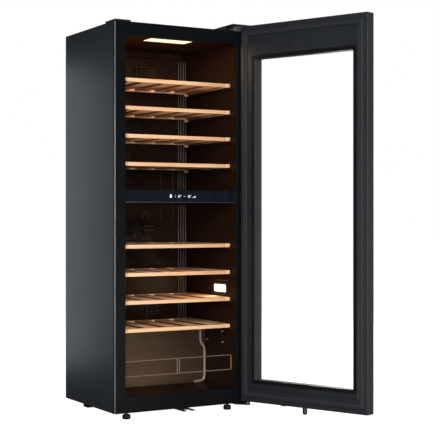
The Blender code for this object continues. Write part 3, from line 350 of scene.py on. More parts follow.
# %% [markdown]
# ## Glass and lamps
# A pane shows mostly what is behind it, so it is nearly clear with faint wiping marks in its gloss. A lamp
# lens glows unevenly, brighter over each of the light-emitting diodes behind it. The zone panel's front is a
# dark glass with a clear coat.

# %% Mix the glass, the lamp lens and the panel glass
WIPED = (6.0, 6.0, 1.5)
DIODE_SCALE = 55.0


def clear_glass():
    finish = Finish("clear_glass", Base_Color=(0.92, 0.96, 0.95), IOR=1.45, Specular_IOR_Level=0.2)
    wiped = finish.noise(finish.stretched(finish.place(), WIPED), 1.0)
    finish.feed(Roughness=wiped * 0.06 + 0.01, Alpha=wiped * 0.008 + 0.008)
    finish.done()


def lamp_lens(strength):
    finish = Finish("lamp_lens", Base_Color=(0.9, 0.85, 0.75), Roughness=0.4, Emission_Strength=strength)
    cell = finish.node("TexVoronoi", {"Vector": finish.place(), "Scale": DIODE_SCALE}, output="Distance")
    finish.feed(Emission_Color=finish.mix(cell, (1.0, 0.86, 0.62), (1.0, 0.78, 0.50)))
    finish.done()


def panel_glass():
    finish = Finish("panel_glass", Coat_Weight=0.4, Coat_Roughness=0.05)
    depth = finish.noise(finish.place(), 9.0)
    finish.feed(
        Base_Color=finish.mix(depth, (0.0026, 0.0044, 0.0085), (0.0045, 0.0075, 0.0145)),
        Roughness=depth * 0.08 + 0.10,
    )
    finish.done()


clear_glass()
lamp_lens(1.15)
panel_glass()
print("finishes mixed:", list(FINISHES)[-3:])

# %% [markdown]
# ## The door frame's painted edge highlight
# The frame is one moulding, and its free edge catches the light as a pale strip. The finish paints that
# highlight in: it turns slate-grey wherever the surface faces out past the free edge.

# %% Mix the door frame
EDGE_FACING = 0.90
EDGE_NORMAL = DOOR_TURN.to_3x3() @ Vector((-1, 0, 0))


def door_frame_finish():
    finish = Finish("door_frame", Specular_IOR_Level=0.45)
    drift = finish.noise(finish.place(), DRIFT_SCALE)
    facing = finish.node("TexCoord", {}, output="Normal")
    outward = finish.part(facing, 0) * EDGE_NORMAL.x + finish.part(facing, 1) * EDGE_NORMAL.y
    plastic = finish.mix(drift, (0.0085, 0.0105, 0.0140), (0.0120, 0.0145, 0.0190))
    # Slate-grey tones: a painted highlight on the free edge of the frame.
    painted_edge_highlight = finish.mix(drift, (0.030, 0.0370, 0.0435), (0.039, 0.0470, 0.0545))
    colour = finish.mix(outward.over(EDGE_FACING), plastic, painted_edge_highlight)
    finish.feed(Base_Color=colour, Roughness=drift * DRIFT_GLOSS + 0.38)
    finish.done()


door_frame_finish()
print("free edge faces", [round(value, 3) for value in EDGE_NORMAL])

# %% [markdown]
# ## From slots to finishes
# Each fixed part names its material by a slot, such as beech or nylon, and takes the finish filed under that
# name. Two parts depart from it: the mouth takes a darker, duller copy of the black plastic, a painted shade
# for the dark frame round the opening, and the door frame carries a painted highlight on its free edge.

# %% Give every fixed part its finish
slot_of = {part["node"]: part["material_slot"] for part in frame["record"]["subparts"]}
for name, node in frame["nodes"].items():
    node.data.materials.clear()
    node.data.materials.append(FINISHES[slot_of[name]])
# The front frame takes the darker copy: painted shade round the opening.
frame["nodes"]["front_frame"].data.materials[0] = FINISHES["shaded_mouth_black"]
frame["nodes"]["door_frame"].data.materials[0] = FINISHES["door_frame"]
print("finishes given to", len(slot_of), "parts")

# %% [markdown]
# ## Making pieces
# Every new piece is drawn in one mesh, takes a finish by its slot's name and rides on a body, so that it
# swings or slides with it. Blocks get eased edges as they are drawn, because a sharp edge never catches
# the light and reads as a drawing and not as a thing.

# %% Hang a piece on its body


def hang(obj, body, slot, replaced=()):
    if not obj.data.materials:
        obj.data.materials.append(FINISHES[slot])
    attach(obj, body)
    if replaced:
        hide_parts(*replaced)
    return obj


def drawn(name, body, slot, draw, replaced=(), on_door=False, crease=35):
    """A piece from a function that draws it into an empty bmesh."""
    shape = bmesh.new()
    draw(shape)
    if on_door:
        shape.transform(DOOR_TURN)
    bmesh.ops.recalc_face_normals(shape, faces=shape.faces)
    mesh = bpy.data.meshes.new(name)
    shape.to_mesh(mesh)
    shape.free()
    mesh.shade_smooth()
    mesh.set_sharp_from_angle(angle=math.radians(crease))
    obj = bpy.data.objects.new(name, mesh)
    bpy.context.scene.collection.objects.link(obj)
    return hang(obj, body, slot, replaced)


print("door pieces are turned by", round(math.degrees(open_angle), 1), "degrees")

# %% Draw a block
EASED = 0.0005


def block(shape, low, high, eased=EASED, segments=1):
    """A block with eased edges; gives back its vertices."""
    before = set(shape.verts)
    low = Vector(low)
    high = Vector(high)
    cube = bmesh.ops.create_cube(shape, size=1)["verts"]
    bmesh.ops.scale(shape, vec=high - low, verts=cube)
    bmesh.ops.translate(shape, vec=(low + high) / 2, verts=cube)
    edges = list({edge for vertex in cube for edge in vertex.link_edges})
    bmesh.ops.bevel(
        shape, geom=edges, offset=eased, segments=segments, affect="EDGES", profile=0.5, clamp_overlap=True
    )
    return [vertex for vertex in shape.verts if vertex not in before]


print("edges are eased by", EASED * 1000, "mm")

# %% [markdown]
# ## Shelves
# A shelf is nine boards: two rails that run its whole depth, a front and a rear strip between them and
# five slats. One mesh holds the boards of a shelf, and each board has its own piece of plank: a seeded draw
# shifts the grain under it, so no two neighbours match and the result never changes.

# %% Build the shelves
SHELF_COUNT = 8
RAIL = 0.020
STRIP = 0.018
BOARD_EASE = 0.0011
SLAT_PITCH = 0.0764
SLAT_GAP = 0.026
SLAT_THICK = 0.008
SLATS_EACH_SIDE = 2
JOINT_GAP = 0.0002
STRIP_SETBACK = 0.0004
STRIP_DROP = 0.0003
REAR_STRIP_DROP = 0.0006
SLAT_DROP = 0.0012
planks = random.Random(7)


def board(shape, layer, low, high, along):
    """One board whose grain runs along the given axis."""
    shift = Vector([planks.uniform(0, 9) for _ in range(3)])
    for vertex in block(shape, low, high, BOARD_EASE, 2):
        across = [vertex.co[axis] for axis in range(3) if axis != along]
        vertex[layer] = Vector((vertex.co[along], *across)) + shift


def draw_shelf(low, high):
    def draw(shape):
        layer = shape.verts.layers.float_vector.new("grain")
        for edge, inner in ((low.x, low.x + RAIL), (high.x - RAIL, high.x)):
            board(shape, layer, (edge, low.y, low.z), (inner, high.y, high.z), 1)
        left = low.x + RAIL + JOINT_GAP
        right = high.x - RAIL - JOINT_GAP
        front = low.y + STRIP_SETBACK
        board(shape, layer, (left, front, low.z), (right, low.y + STRIP, high.z - STRIP_DROP), 0)
        board(shape, layer, (left, high.y - STRIP, low.z), (right, high.y, high.z - REAR_STRIP_DROP), 0)
        middle = (low.x + high.x) / 2
        half = (SLAT_PITCH - SLAT_GAP) / 2
        top = high.z - SLAT_DROP
        for slat in range(-SLATS_EACH_SIDE, SLATS_EACH_SIDE + 1):
            start = left if slat == -SLATS_EACH_SIDE else middle + slat * SLAT_PITCH - half
            end = right if slat == SLATS_EACH_SIDE else middle + slat * SLAT_PITCH + half
            low_y = low.y + STRIP + JOINT_GAP
            high_y = high.y - STRIP - JOINT_GAP
            board(shape, layer, (start, low_y, top - SLAT_THICK), (end, high_y, top), 1)

    return draw


for number in range(1, SHELF_COUNT + 1):
    node = f"shelf_{number}"
    drawn(node + "_boards", node, "beech", draw_shelf(*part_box(node)), (node,))
BOARDS_EACH = 4 + 2 * SLATS_EACH_SIDE + 1
print("shelves", SHELF_COUNT, "boards", SHELF_COUNT * BOARDS_EACH)

# %% [markdown]
# ## Bottle guard
# The fence at the bottom is one long loop of coated wire with two bars welded across its middle. A curve
# with a round bevel is the natural way to draw bent wire.

# %% A helper that bends wire
BEVEL_RESOLUTION = 3


def wire(name, points, radius, body, slot, closed=False, replaced=()):
    """A round bar bent along a chain of points."""
    curve = bpy.data.curves.new(name, "CURVE")
    curve.dimensions = "3D"
    curve.bevel_depth = radius
    curve.bevel_resolution = BEVEL_RESOLUTION
    curve.use_fill_caps = True
    spline = curve.splines.new("POLY")
    spline.points.add(len(points) - 1)
    for point, place in zip(spline.points, points):
        point.co = (*place, 1)
    spline.use_cyclic_u = closed
    spline.use_smooth = True
    obj = bpy.data.objects.new(name, curve)
    bpy.context.scene.collection.objects.link(obj)
    return hang(obj, body, slot, replaced)


print("wire drawn with", 4 + 4 * BEVEL_RESOLUTION, "sides")

# %% Bend the bottle guard
guard_low, guard_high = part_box("bottle_guard")
WIRE_RADIUS = 0.0015
BEND = 0.005
BARS = (-0.004, 0.004)
BAR_THINNER = 0.9


def loop_points(low_x, high_x, low_z, high_z, y, bend, steps=5):
    """An upright rectangle at one depth, with its corners bent round."""
    corners = (
        (high_x - bend, high_z - bend, 0),
        (low_x + bend, high_z - bend, 90),
        (low_x + bend, low_z + bend, 180),
        (high_x - bend, low_z + bend, 270),
    )
    points = []
    for x, z, start in corners:
        for step in range(steps + 1):
            angle = math.radians(start + 90 * step / steps)
            points.append(Vector((x + bend * math.cos(angle), y, z + bend * math.sin(angle))))
    return points


guard_y = (guard_low.y + guard_high.y) / 2
guard_z = (guard_low.z + WIRE_RADIUS, guard_high.z - WIRE_RADIUS)
loop = loop_points(guard_low.x + WIRE_RADIUS, guard_high.x - WIRE_RADIUS, *guard_z, guard_y, BEND)
wire("guard_loop", loop, WIRE_RADIUS, "cabinet", "wire", True, ("bottle_guard",))
for side, x in zip(("left", "right"), BARS):
    bar_ends = [Vector((MIDDLE_X + x, guard_y, z)) for z in guard_z]
    wire(f"guard_bar_{side}", bar_ends, WIRE_RADIUS * BAR_THINNER, "cabinet", "wire")
print("guard height", round(guard_z[1] - guard_z[0], 4))

# %% [markdown]
# ## Shelf stops
# Under the rear corners of every shelf sits a small block of the same beech. It stops the shelf at the end
# of its runner. The blocks are their own piece, because on the real shelf they are pinned on afterwards.

# %% Pin a stop block under each rear corner
STOP_SIZE = (0.017, 0.011, 0.0065)
RUNNER_INSIDE = 0.0085
STOP_INSET = 0.001


def draw_stops(low, high):
    def draw(shape):
        layer = shape.verts.layers.float_vector.new("grain")
        top = low.z - JOINT_GAP
        rear = high.y - STOP_INSET
        for left in (low.x + RUNNER_INSIDE, high.x - RUNNER_INSIDE - STOP_SIZE[0]):
            corner = (left, rear - STOP_SIZE[1], top - STOP_SIZE[2])
            board(shape, layer, corner, (left + STOP_SIZE[0], rear, top), 0)

    return draw


for number in range(1, SHELF_COUNT + 1):
    node = f"shelf_{number}"
    drawn(node + "_stops", node, "beech", draw_stops(*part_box(node)))
print("stop blocks", SHELF_COUNT * 2)

# %% [markdown]
# ## Zone panel
# The bar between the zones has a dark glass front. Behind the glass glow two small temperature readings,
# one for each zone, and a bottle sign. Each digit is made of up to seven short bars, as on any such display,
# so the marks stay generic. They are thin solid bars, because lit marks on a real panel have crisp edges too.

# %% Measure the marks
# A bar is its place and height from the panel's middle, then how wide and how tall it is.
BOTTLE_SIGN = (
    (-0.0400, -0.0045, 0.0066, 0.0062),
    (-0.0400, 0.0025, 0.0066, 0.0020),
    (-0.0382, 0.0050, 0.0030, 0.0012),
)
DIVIDER = (-0.0208, -0.0045, 0.0005, 0.0090)
DASH = (0.0100, -0.0005, 0.0060, 0.0010)
RING = (
    (0, 0.0022, 0.0018, 0.0006),
    (0, 0.0034, 0.0018, 0.0006),
    (-0.0004, 0.0024, 0.0006, 0.0014),
    (0.0016, 0.0024, 0.0006, 0.0014),
)
READINGS = (("12", -0.0130), ("16", 0.0230))
STEPS = 3
STEPS_X = 0.0430
STEPS_Z = -0.0040
STEP_PITCH = 0.0040
STEP_WIDE = 0.0024
STEP_LOW = 0.0015
STEP_RISE = 0.0020
MARK_GRAIN = 400.0
print("readings", [text for text, _ in READINGS])

# %% A digit made of bars
MARK_DEPTH = 0.0002
DIGIT = (0.0042, 0.0080)
STROKE = 0.0010
SEGMENTS = {"1": "bc", "2": "abged", "6": "afgedc"}
DIGIT_PITCH = DIGIT[0] * 1.5
display_low, display_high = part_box("control_glass")
mark_y = display_low.y - MARK_DEPTH
mark_z = (display_low.z + display_high.z) / 2


def bar(shape, x, z, width, height):
    """One lit bar, placed from the middle of the panel."""
    low = (MIDDLE_X + x, mark_y, mark_z + z)
    block(shape, low, (low[0] + width, mark_y + MARK_DEPTH * 0.9, low[2] + height), STROKE * 0.1)


def digit(shape, text, x):
    wide, tall = DIGIT
    half = tall / 2
    places = {
        "a": (x, half - STROKE, wide, STROKE),
        "g": (x, -STROKE / 2, wide, STROKE),
        "d": (x, -half, wide, STROKE),
        "f": (x, 0, STROKE, half),
        "e": (x, -half, STROKE, half),
        "b": (x + wide - STROKE, 0, STROKE, half),
        "c": (x + wide - STROKE, -half, STROKE, half),
    }
    for name in SEGMENTS[text]:
        bar(shape, *places[name])


print("digits known:", sorted(SEGMENTS))

# %% Draw the lit marks on the zone panel


def reading(shape, text, x):
    """Some digits and a small ring behind them for degrees."""
    for number, letter in enumerate(text):
        digit(shape, letter, x + number * DIGIT_PITCH)
    ring_x = x + len(text) * DIGIT_PITCH + 0.0006
    for place, z, width, height in RING:
        bar(shape, ring_x + place, z, width, height)


def draw_marks(shape):
    for mark in (*BOTTLE_SIGN, DIVIDER, DASH):
        bar(shape, *mark)
    for text, x in READINGS:
        reading(shape, text, x)
    for number in range(STEPS):
        height = STEP_LOW + STEP_RISE * number
        bar(shape, STEPS_X + number * STEP_PITCH, STEPS_Z, STEP_WIDE, height)


def lit_marks():
    finish = Finish("lit_marks", Roughness=0.4, Emission_Strength=0.36)
    shade = finish.noise(finish.place(), MARK_GRAIN)
    white = finish.mix(shade, (0.80, 0.84, 0.92), (0.92, 0.95, 1.0))
    finish.feed(Base_Color=white, Emission_Color=white)
    finish.done()


lit_marks()
marks = drawn("zone_panel_marks", "cabinet", "lit_marks", draw_marks)
print("marks are", round(DIGIT[1] * 1000, 1), "mm tall")

# %% [markdown]
# ## Trim under the zone panel
# A slim satin lip closes the panel's lower edge. It is the one line on the bar that catches the light, so
# it gets a proper rounded section and not just a lighter stripe.

# %% Add the lip under the zone panel
LIP_INSET = 0.0008
LIP_PROUD = 0.0004
LIP_DEEP = 0.003
LIP_ROUND = 0.0003
LIP_BELOW = 0.0006
lip_low, lip_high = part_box("control_panel")


def draw_lip(shape):
    low = (lip_low.x + LIP_INSET, display_low.y - LIP_PROUD, lip_low.z - LIP_BELOW)
    high = (lip_high.x - LIP_INSET, lip_low.y + LIP_DEEP, display_low.z - LIP_ROUND)
    block(shape, low, high, LIP_ROUND, 2)


coated_steel("lip", (0.065, 0.067, 0.070), (0.085, 0.087, 0.090), 0.32)
drawn("zone_panel_lip", "cabinet", "lip", draw_lip)
print("lip", round((lip_high.x - lip_low.x - 2 * LIP_INSET) * 1000), "mm long")

# %% [markdown]
# ## Back wall
# The moulded duct covers are not plain boards: the air side has level ribs, a field of small studs in
# front of the coil, louvres over the outlet and a hanger hook. Each is a small repeated shape, so a loop
# with a pitch draws it. Four round beads, half sunk, run up the right side over the air channel, in a pale
# finish that paints the highlights along them.

# %% A raised strip on a duct cover
upper_low, upper_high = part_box("upper_duct_cover")
lower_low, lower_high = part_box("lower_duct_cover")
RIB_FRONT = upper_low.y
PLATE_Y = RIB_FRONT + 0.003
RELIEF = 0.0012
SUNK = 0.00005


def relief(shape, x, z, width, height, rise=RELIEF, eased=EASED):
    """A raised strip on the duct cover, placed from the cabinet's middle."""
    low = (MIDDLE_X + x, PLATE_Y - rise, z)
    block(shape, low, (MIDDLE_X + x + width, PLATE_Y - SUNK, z + height), min(eased, rise * 0.45))


print("duct covers", [round(value, 4) for value in (upper_high.z - upper_low.z, lower_high.z - lower_low.z)])

# %% Ribs that both covers share
LEVEL_PITCH = 0.0105
RIB_LEFT = -0.190
RIB_TALL = 0.0024
STAYS = (0.093, 0.139)
STAY_WIDE = 0.0020
STAY_RISE = 0.0030
STAY_EASED = 0.0008


def level_ribs(shape, low_z, high_z, width):
    z = low_z
    while z < high_z:
        relief(shape, RIB_LEFT, z, width, RIB_TALL)
        z += LEVEL_PITCH


def stays(shape, z, tall):
    for x in STAYS:
        relief(shape, x, z, STAY_WIDE, tall, STAY_RISE, STAY_EASED)


print("level ribs every", round(LEVEL_PITCH * 1000, 1), "mm")

# %% Draw the upper cover's louvres
LOUVRES = 6
LOUVRE_PITCH = 0.009
LOUVRE = (0.005, 0.060, 0.0016, 0.0022)
LOUVRE_FRAME = (-0.002, 0.067)
FRAME_BAR = (0.0016, 0.068, 0.0018)


def draw_upper_relief(shape):
    level_ribs(shape, upper_low.z + 0.018, upper_high.z - 0.10, 0.170)
    x, width, height, rise = LOUVRE
    for row in range(LOUVRES):
        relief(shape, x, upper_high.z - 0.034 - row * LOUVRE_PITCH, width, height, rise)
    width, height, rise = FRAME_BAR
    for x in LOUVRE_FRAME:
        relief(shape, x, upper_high.z - 0.092, width, height, rise)
    stays(shape, upper_low.z + 0.004, 0.068)


print("louvres", LOUVRES)

# %% Draw the lower cover's studs, bars and hanger hook
STUD_ROWS = 6
STUD_COLUMNS = 14
STUD_PITCH = 0.0082
STUD = 0.0042
STUD_RISE = 0.0010
STUDS_LEFT = -0.058
BAR_WIDTHS = (0.034, 0.040)
BAR_PITCH = 0.014
HOOK_FEET = ((0.020, 1), (0.044, -1))
HOOK_STEPS = 5
HOOK_LEAN = 0.0026
HOOK_CLIMB = 0.0058
HOOK_STEP = (0.0050, 0.0060, 0.0026, 0.0010)


def draw_hook(shape):
    for x, tilt in HOOK_FEET:
        for step in range(HOOK_STEPS):
            z = lower_high.z - 0.052 + step * HOOK_CLIMB
            relief(shape, x + tilt * step * HOOK_LEAN, z, *HOOK_STEP)


def draw_lower_relief(shape):
    level_ribs(shape, lower_low.z + 0.060, lower_high.z - 0.090, 0.150)
    stays(shape, lower_high.z - 0.058, 0.054)
    for row in range(STUD_ROWS):
        z = lower_high.z - 0.118 - row * STUD_PITCH
        for column in range(STUD_COLUMNS):
            relief(shape, STUDS_LEFT + column * STUD_PITCH, z, STUD, STUD, STUD_RISE)
    for row, width in enumerate(BAR_WIDTHS):
        relief(shape, 0.030, lower_high.z - 0.081 - row * BAR_PITCH, width, 0.0030, 0.0016)
    draw_hook(shape)


print("studs", STUD_ROWS * STUD_COLUMNS)

# %% A lathe, and the four beads it turns
BEADS = 4
BEAD_PITCH = 0.0095
BEAD_RADIUS = 0.0013
BEAD_TAPER = 0.4
BEAD_END = 0.002
BEAD_CLEAR = 0.006


def lathe(shape, profile, at, sides=32, ripple=None, turn=None):
    """Turns (radius, height) pairs about an upright axis, or about one that a matrix turns it to."""
    rings = []
    for row, (radius, height) in enumerate(profile):
        ring = []
        for side in range(sides):
            angle = 2 * math.pi * side / sides
            reach = radius * (ripple(row, angle) if ripple else 1.0)
            point = Vector((reach * math.cos(angle), reach * math.sin(angle), height))
            ring.append(shape.verts.new(Vector(at) + (turn @ point if turn else point)))
        rings.append(ring)
    for lower, upper in zip(rings, rings[1:]):
        for side in range(sides):
            after = (side + 1) % sides
            shape.faces.new((lower[side], lower[after], upper[after], upper[side]))
    shape.faces.new(rings[0])
    shape.faces.new(reversed(rings[-1]))


def draw_beads(shape):
    narrow = BEAD_RADIUS * BEAD_TAPER
    for low, high in ((upper_low, upper_high), (lower_low, lower_high)):
        tall = high.z - low.z - 2 * BEAD_CLEAR
        ends = [(narrow, 0), (BEAD_RADIUS, BEAD_END)]
        profile = ends + [(BEAD_RADIUS, tall - BEAD_END), (narrow, tall)]
        for number in range(BEADS):
            x = high.x - BEAD_PITCH * (BEADS - number - 0.5)
            lathe(shape, profile, (x, RIB_FRONT - narrow, low.z + BEAD_CLEAR), 10)


print("beads", 2 * BEADS)

# %% Hang the relief on the duct covers
# Pale plastic for beads, pegs and ledge: painted highlights on the dark liner.
moulded("bead", (0.085, 0.070, 0.055), (0.120, 0.100, 0.080), 0.28)
moulded("relief", (0.038, 0.022, 0.012), (0.055, 0.034, 0.020), 0.32)
for name, finish, draw in (
    ("upper_duct_relief", "relief", draw_upper_relief),
    ("lower_duct_relief", "relief", draw_lower_relief),
    ("duct_beads", "bead", draw_beads),
):
    drawn(name, "cabinet", finish, draw)
    print(name, "hung")

# %% [markdown]
# ## Highlight in the liner's corner
# The lamp's light runs as a bright line down the rounded corner beside the hump, dodges the hump's top edge
# with an S-bend and turns along the floor at its foot. A bent round bar again, in a pale brown, paints that
# highlight.

# %% Bend the painted corner highlight
HIGHLIGHT_BEAD_RADIUS = 0.0046
HIGHLIGHT_BEAD_Y = 0.206
HIGHLIGHT_BEAD_COURSE = (
    (0.1790, 0.262), (0.1790, 0.222), (0.1805, 0.210), (0.1860, 0.200), (0.1930, 0.192), (0.1960, 0.182),
    (0.1965, 0.110), (0.1955, 0.086), (0.1900, 0.0775), (0.1780, 0.0745), (0.1550, 0.0735),
)
CORNER_CUTS = 2


def rounded_chain(points):
    """A smooth chain through the points: each corner is cut back and rounded."""
    chain = list(points)
    for _ in range(CORNER_CUTS):
        finer = [chain[0]]
        for first, second in zip(chain, chain[1:]):
            finer += [first.lerp(second, 0.25), first.lerp(second, 0.75)]
        chain = finer + [chain[-1]]
    return chain


# Pale brown: a painted highlight along the liner's rounded corner.
moulded("pipe", (0.17, 0.125, 0.095), (0.23, 0.175, 0.135), 0.26)
course = rounded_chain([spot(x, HIGHLIGHT_BEAD_Y, z) for x, z in HIGHLIGHT_BEAD_COURSE])
wire("drain_pipe", course, HIGHLIGHT_BEAD_RADIUS, "cabinet", "pipe")
print("drain pipe bent from", len(course), "points")

# %% [markdown]
# ## Hump face and wall fittings
# The liner steps forward over the compressor. Its face is pressed in level ribs, which stiffen a thin
# moulding, and its tone carries painted light: paler on the left, a painted shade towards the right. The
# right wall carries three shelf pegs and a narrow ledge above the side lamp, both in a pale finish that
# paints the lamp's highlights.

# %% Press the hump's face
HUMP_Y = 0.212
HUMP_LOW = 0.070
HUMP_HIGH = 0.257
HUMP_PITCH = 0.0110
HUMP_RIB_TALL = 0.0016
HUMP_RIB_END = 0.170
WALL_X = 0.202
WALL_GAP = 0.0006


def draw_hump(shape):
    edge = WALL_X - WALL_GAP
    block(shape, spot(-edge, HUMP_Y - 0.0009, HUMP_LOW), spot(edge, HUMP_Y - 0.0001, HUMP_HIGH), 0.0003)
    z = HUMP_LOW + 0.012
    while z < HUMP_HIGH - 0.010:
        low = spot(-WALL_X + 0.006, HUMP_Y - 0.0017, z)
        block(shape, low, spot(HUMP_RIB_END, HUMP_Y - 0.0008, z + HUMP_RIB_TALL), 0.0004)
        z += HUMP_PITCH


def hump_finish():
    """Painted light and shade: paler on the left where the front light reaches, darker to the right corner."""
    finish = Finish("hump", Specular_IOR_Level=0.3)
    where = finish.place()
    # The tone darkens with x: painted light on the left, painted shade on the right.
    shade_to_the_right = (finish.part(where, 0) - (MIDDLE_X - 0.10)) * 3.4
    drift = finish.noise(where, DRIFT_SCALE)
    lit_left_tone = finish.mix(drift, (0.062, 0.038, 0.0200), (0.080, 0.050, 0.0270))
    shaded_right_tone = finish.mix(drift, (0.016, 0.0080, 0.0045), (0.022, 0.0115, 0.0065))
    colour = finish.mix(shade_to_the_right, lit_left_tone, shaded_right_tone)
    finish.feed(Base_Color=colour, Roughness=drift * DRIFT_GLOSS + 0.36)
    finish.done()


hump_finish()
drawn("hump_face", "cabinet", "hump", draw_hump)
print("hump face", round((HUMP_HIGH - HUMP_LOW) * 1000), "mm high")

# %% Set the wall's pegs and the lamp's ledge
PEG_RADIUS = 0.0035
PEG_PLACES = ((0.0885, 0.254), (0.085, 0.218), (0.190, 0.2185))
PEG_PROFILE = ((0.8, 0), (1.0, 0.001), (1.0, 0.006), (0.6, 0.008))
LEDGE_LOW = (WALL_X - 0.0042, 0.055, 0.4246)
LEDGE_HIGH = (WALL_X - 0.0002, 0.122, 0.4264)


def draw_pegs(shape):
    sideways = Matrix.Rotation(math.radians(-90), 3, "Y")
    profile = [(PEG_RADIUS * share, reach) for share, reach in PEG_PROFILE]
    for y, z in PEG_PLACES:
        lathe(shape, profile, spot(WALL_X, y, z), 16, turn=sideways)


def draw_ledge(shape):
    block(shape, spot(*LEDGE_LOW), spot(*LEDGE_HIGH), 0.0006, 2)


# Pegs and ledge are pale: painted highlights of the side lamp.
drawn("wall_pegs", "cabinet", "bead", draw_pegs)
drawn("lamp_ledge", "cabinet", "bead", draw_ledge)
print("pegs", len(PEG_PLACES))

# %% [markdown]
# ## Side lamp's lens
# The lens on the right wall is a pillow with well-rounded corners, and its dark tray shows round it as a
# narrow rim. Stacked rounded outlines that shrink towards the room give the pillow its soft edge.

# %% Shape the side lamp's lens
LENS_RIM = 0.0030
LENS_ROWS = ((0.0, 0.0), (0.0010, 0.0), (0.0018, 0.0008), (0.0022, 0.0022))
LENS_SIDE_RIM = 0.001
LENS_DEPTH = 0.0024
LENS_CORNER = 0.006
lens_low, lens_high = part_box("side_lamp_lens")


def skin(shape, rows, closed=False):
    """Joins rows of points, each a closed ring, with faces; a closed skin joins the last to the first."""
    count = len(rows[0])
    for first, second in zip(rows, rows[1:] + (rows[:1] if closed else [])):
        for place in range(count):
            after = (place + 1) % count
            shape.faces.new((first[place], first[after], second[after], second[place]))


def draw_side_lens(shape):
    rows = []
    for rise, inset in LENS_ROWS:
        side = LENS_SIDE_RIM + inset
        edge = LENS_RIM + inset
        across = (lens_low.y + side, lens_high.y - side)
        ring = loop_points(*across, lens_low.z + edge, lens_high.z - edge, 0, LENS_CORNER)
        x = lens_low.x + LENS_DEPTH - rise
        rows.append([shape.verts.new((x, point.x, point.z)) for point in ring])
    skin(shape, rows)
    shape.faces.new(rows[0])
    shape.faces.new(reversed(rows[-1]))


drawn("side_lamp_pillow", "cabinet", "lamp_lens", draw_side_lens, ("side_lamp_lens",), crease=50)
print("side lens", [round(value, 4) for value in lens_high - lens_low])

# %% [markdown]
# ## Highlight on the front corner
# Where the folded side meets the front frame, its rounded bend catches the light as one thin bright line from
# top to bottom, and a pale rod paints that highlight.

# %% Run the highlight rod down the front left corner
SEAM_RADIUS = 0.0007
SEAM_END = 0.0005
SEAM_CLEAR = 0.002


def draw_seam(shape):
    foot = Vector((frame_low.x + SEAM_RADIUS, frame_low.y + SEAM_RADIUS, frame_low.z + SEAM_CLEAR))
    tall = frame_high.z - frame_low.z - 2 * SEAM_CLEAR
    ends = [(SEAM_RADIUS * 0.5, 0), (SEAM_RADIUS, SEAM_END)]
    lathe(shape, ends + [(SEAM_RADIUS, tall - SEAM_END), (SEAM_RADIUS * 0.5, tall)], foot, 10)


# Very pale grey: a painted highlight on the rounded front corner.
coated_steel("seam", (0.50, 0.53, 0.56), (0.60, 0.63, 0.66), 0.3)
drawn("corner_seam", "cabinet", "seam", draw_seam)
print("seam", round((frame_high.z - frame_low.z) * 1000), "mm tall")

# %% [markdown]
# ## Door gasket
# The seal is an extruded rubber profile with a magnet in it: a flat foot, a thin bellows and a rounded
# lip. Sweeping that section round the door as one loft gives clean, closed corners at no cost.

# %% Measure a part as it sits on the closed door
SPIN_BACK = DOOR_TURN.inverted()


def closed_box(*nodes):
    """The box of some door nodes as they sit on the closed door."""
    points = [SPIN_BACK @ vertex.co for node in nodes for vertex in frame["nodes"][node].data.vertices]
    low = Vector([min(point[axis] for point in points) for axis in range(3)])
    high = Vector([max(point[axis] for point in points) for axis in range(3)])
    return low, high


gasket_low, gasket_high = closed_box("door_gasket")
print("gasket", [round(value, 4) for value in gasket_high - gasket_low])

# %% Loft the door gasket
GASKET_PROFILE = (
    (0.0000, 0.0010), (0.0004, 0.0003), (0.0018, 0.0000), (0.0030, 0.0012), (0.0040, 0.0012),
    (0.0052, 0.0002), (0.0075, 0.0000), (0.0110, 0.0000), (0.0128, 0.0004), (0.0138, 0.0016),
    (0.0144, 0.0016), (0.0152, 0.0006), (0.0160, 0.0012), (0.0160, 0.0048), (0.0000, 0.0048),
)
GASKET_CORNER = 0.004
TIGHTEST_BEND = 0.0006
LOFT_STEPS = 4


def loft_ring(shape, low, high, profile, radius):
    """Sweeps (inset, depth behind the high face) pairs round an upright rectangle."""
    rows = []
    for inset, depth in profile:
        bend = max(radius - inset, TIGHTEST_BEND)
        across = (low.x + inset, high.x - inset)
        ring = loop_points(*across, low.z + inset, high.z - inset, high.y - depth, bend, LOFT_STEPS)
        rows.append([shape.verts.new(point) for point in ring])
    skin(shape, rows, closed=True)


drawn(
    "door_gasket_bellows",
    "door",
    "gasket",
    lambda shape: loft_ring(shape, gasket_low, gasket_high, GASKET_PROFILE, GASKET_CORNER),
    ("door_gasket",),
    on_door=True,
    crease=50,
)
print("gasket lofted from a section of", len(GASKET_PROFILE), "points")

# %% [markdown]
# ## Border round the window
# Inside the raised frame a glossy black border leads down to the glass and hides the pane's glued edge. It
# is the same kind of loft as the gasket, with a flat section and a rolled inner lip.

# %% Loft the window's border
BORDER_LAP = 0.0003
BORDER_BEHIND = 0.0006
BORDER_CORNER = 0.006
BORDER_PROFILE = (
    (0.0000, 0.0005), (0.0004, 0.0000), (0.0114, 0.0000), (0.0121, 0.0006),
    (0.0121, 0.0041), (0.0118, 0.0041), (0.0118, 0.0010), (0.0000, 0.0008),
)
raised_low, raised_high = closed_box("door_inner_frame")
pane_low, pane_high = closed_box("inner_glass")
border_low = Vector((pane_low.x - BORDER_LAP, raised_low.y, pane_low.z - BORDER_LAP))
border_high = Vector((pane_high.x + BORDER_LAP, raised_high.y + BORDER_BEHIND, pane_high.z + BORDER_LAP))
moulded("border", (0.0022, 0.0022, 0.0026), (0.0032, 0.0032, 0.0036), 0.30)
border = drawn(
    "window_border",
    "door",
    "border",
    lambda shape: loft_ring(shape, border_low, border_high, BORDER_PROFILE, BORDER_CORNER),
    on_door=True,
    crease=50,
)
print("border", [round(value, 4) for value in border_high - border_low])

# %% [markdown]
# ## Feet
# A levelling foot is a knurled nylon cap on a threaded stem. A lathe profile gives the cap, and a
# ripple on its radius gives the knurl. The thread is a stack of fine ridges.

